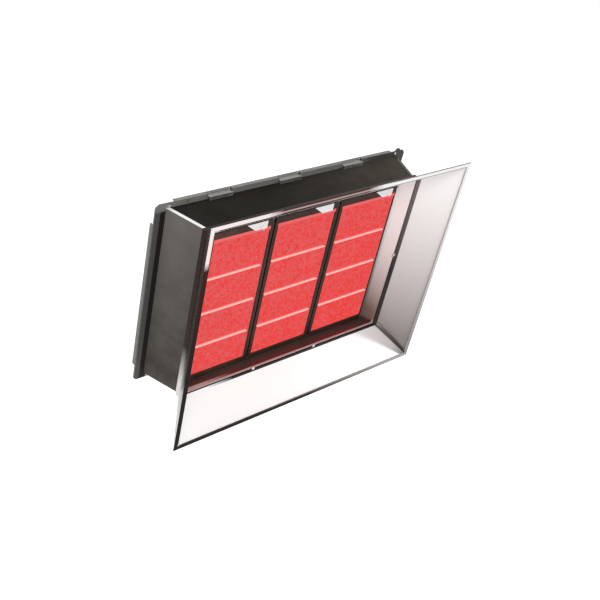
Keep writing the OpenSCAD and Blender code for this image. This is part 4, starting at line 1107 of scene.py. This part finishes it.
class HEATER_OT_bracket(bpy.types.Operator):
    """Finishes the wall bracket and adds its weld beads, bolts and nuts"""

    bl_idname = "heater.bracket"
    bl_label = "Wall bracket"

    def execute(self, context):
        paint("black_coat", "wall_bracket")
        paint("zinc_fastener", "pivot_washers")
        arm_x, arm_t, ear_x, gap, nut_t, bolt_end = 102.05, 4.0, 97.25, 0.3, 8.0, 1.8
        weld_x, weld_y, weld_low, weld_high, count = 101.65, 296.0, -80.0, -4.0, 90
        z = np.linspace(weld_low, weld_high, count)
        beads = round_ends(count, 0.03) * (1 + 0.16 * np.sin(np.arange(count) * 1.9))
        parts = []
        for side in (-1, 1):
            path = np.stack([np.full(count, side * weld_x), np.full(count, weld_y), z], 1)
            parts.append(tube(placed(path), trim().weld / MM, swell=beads))
        piece("bracket_welds", parts, "black_coat", "bracket")
        y, z = placed((0, 125, 10))[1:]
        # Outlines round the bolt's axis, as radius and height in millimetres
        head = [(0, 0), (5.0, 0), (8.4, 0.35), (10.0, 0.9), (10.0, 5.0), (8.6, 5.9), (7.2, 6.0), (0, 6.0)]
        shank = [(0, 0), (4.2, 0), (5.0, 1.0), (5.0, 18.6), (0, 18.6)]
        nut = [(5.06, 0.2), (7.4, 0.0), (10.0, 1.1), (10.0, 6.9), (7.4, nut_t), (5.06, 7.8), (5.06, 0.2)]
        nut_x = ear_x - gap - nut_t
        bolts, nuts = [], []
        for side in (-1, 1):
            axis = (side, 0, 0)
            bolts.append(turned(head, (side * (arm_x + arm_t), y, z), axis, sides=72, radius_of=hexagon))
            bolts.append(turned(shank, (side * (nut_x - bolt_end), y, z), axis))
            nuts.append(turned(nut, (side * nut_x, y, z), axis, sides=72, radius_of=hexagon))
        piece("tilt_bolts", bolts, "zinc_fastener", "bracket", smooth=30.0,
              replaces=("pivot_bolts",))
        piece("tilt_nuts", nuts, "zinc_fastener", "bracket", smooth=30.0,
              replaces=("pivot_nuts",))
        return {"FINISHED"}


def placing(right, up, back, where):
    """The matrix of a camera or lamp: the ways to its right, up and back, and its place, as columns."""
    return Matrix([[right[i], up[i], back[i], where[i]] for i in range(3)] + [[0, 0, 0, 1]])


def add_object(name, data, matrix=None):
    """Puts an object into the scene."""
    obj = bpy.data.objects.new(name, data)
    if matrix:
        obj.matrix_world = matrix
    bpy.context.scene.collection.objects.link(obj)
    return obj


def pale_floor(drop, reach=9.0, count=24):
    """A wide flat floor, which glows for the camera alone."""
    line = np.linspace(-reach, reach, count)
    u, v = np.meshgrid(line, line, indexing="ij")
    points, faces = surface(np.stack([u, v, np.full_like(u, -drop)], -1))
    mesh = bpy.data.meshes.new("floor")
    mesh.from_pydata(points.tolist(), [], faces.tolist())
    floor = add_object("floor", mesh)
    f = Finish("pale_floor", (0.9, 0.9, 0.9), 0.0, 0.9)
    seen = f.add("LightPath").outputs["Is Camera Ray"]
    matt = f.shader.outputs[0]
    white = f.add("Emission", {"Color": (1.0, 1.0, 1.0), "Strength": 0.6})
    lit = f.add("AddShader", {0: matt, 1: white.outputs[0]})
    pick = f.add("MixShader", {0: seen, 1: matt, 2: lit.outputs[0]})
    out = [n for n in f.tree.nodes if n.type == "OUTPUT_MATERIAL"][0]
    f.tree.links.new(pick.outputs[0], out.inputs["Surface"])
    mesh.materials.append(f.material)


def white_room(even_light):
    """White surroundings: full white to the camera, in mirrors and through glass, and weaker as light."""
    world = bpy.data.worlds.new("white_room")
    bpy.context.scene.world = world
    world.use_nodes = True
    nodes, links = world.node_tree.nodes, world.node_tree.links
    path = nodes.new("ShaderNodeLightPath")
    seen = path.outputs["Is Camera Ray"]
    for ray in ("Is Glossy Ray", "Is Transmission Ray"):
        either = nodes.new("ShaderNodeMath")
        either.operation = "MAXIMUM"
        links.new(seen, either.inputs[0])
        links.new(path.outputs[ray], either.inputs[1])
        seen = either.outputs[0]
    strength = nodes.new("ShaderNodeMapRange")
    strength.inputs["To Min"].default_value = even_light
    strength.inputs["To Max"].default_value = 1.0
    links.new(seen, strength.inputs["Value"])
    ground = nodes["Background"]
    ground.inputs["Color"].default_value = (1.0, 1.0, 1.0, 1.0)
    links.new(strength.outputs["Result"], ground.inputs["Strength"])


def lamp(name, place, power, width):
    """A round soft lamp that shines on the heater."""
    light = bpy.data.lights.new(name, "AREA")
    light.energy = power
    light.size = width
    light.shape = "DISK"
    aim = (0.0, -WALL_REACH * MM, 0.0)
    add_object(name, light, placing(*basis(np.subtract(place, aim)), place))


class HEATER_OT_stage(bpy.types.Operator):
    """Sets the floor, the soft lights, the white surroundings and the camera"""

    bl_idname = "heater.stage"
    bl_label = "Floor, light and camera"

    def execute(self, context):
        s = context.scene.heater_stage
        pale_floor(s.floor_drop)
        white_room(s.world)
        lamp("key_light", (-1.9, -2.3, 2.3), s.key, 1.8)
        lamp("fill_light", (2.4, -1.6, 0.9), s.fill, 1.6)
        eye = bpy.data.cameras.new("camera")
        eye.sensor_width = 36.0
        eye.lens = s.lens
        eye.clip_start = 0.05
        # The directions and the place of the camera that was fitted to the photograph
        right = (0.75330, -0.62744, 0.19711)
        up = (0.25134, 0.55160, 0.79534)
        back = (-0.60775, -0.54959, 0.57323)
        where = (-1.397243, -1.603303, 1.317951)
        context.scene.camera = add_object("camera", eye, placing(right, up, back, where))
        context.scene.view_settings.view_transform = "Standard"
        return {"FINISHED"}


STEPS = (HEATER_OT_casing, HEATER_OT_hood, HEATER_OT_burners, HEATER_OT_back, HEATER_OT_valve, HEATER_OT_tap,
         HEATER_OT_control_box, HEATER_OT_bracket, HEATER_OT_stage)


class HEATER_PT_parts(bpy.types.Panel):
    """Lists the heater's steps in the sidebar."""

    bl_label = "Gas infrared heater"
    bl_idname = "HEATER_PT_parts"
    bl_space_type = "VIEW_3D"
    bl_region_type = "UI"
    bl_category = "Heater"

    def draw(self, context):
        column = self.layout.column()
        for step in STEPS:
            column.operator(step.bl_idname)
        for group in ("heater_colours", "heater_trim", "heater_stage"):
            settings = getattr(context.scene, group)
            box = self.layout.box()
            for name in settings.bl_rna.properties.keys():
                if name not in ("rna_type", "name"):
                    box.prop(settings, name)


CLASSES = (HeaterColours, HeaterTrim, HeaterStage, *STEPS, HEATER_PT_parts)


def register():
    """Registers the classes and hangs the settings on the scene."""
    for cls in CLASSES:
        bpy.utils.register_class(cls)
    bpy.types.Scene.heater_colours = PointerProperty(type=HeaterColours)
    bpy.types.Scene.heater_trim = PointerProperty(type=HeaterTrim)
    bpy.types.Scene.heater_stage = PointerProperty(type=HeaterStage)


def unregister():
    """Takes the settings and the classes away again."""
    del bpy.types.Scene.heater_stage
    del bpy.types.Scene.heater_trim
    del bpy.types.Scene.heater_colours
    for cls in reversed(CLASSES):
        bpy.utils.unregister_class(cls)


def main():
    """Registers the add-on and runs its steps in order."""
    register()
    bpy.ops.heater.casing()
    bpy.ops.heater.hood()
    bpy.ops.heater.burners()
    bpy.ops.heater.back()
    bpy.ops.heater.valve()
    bpy.ops.heater.tap()
    bpy.ops.heater.control_box()
    bpy.ops.heater.bracket()
    bpy.ops.heater.stage()


if __name__ == "__main__":
    main()
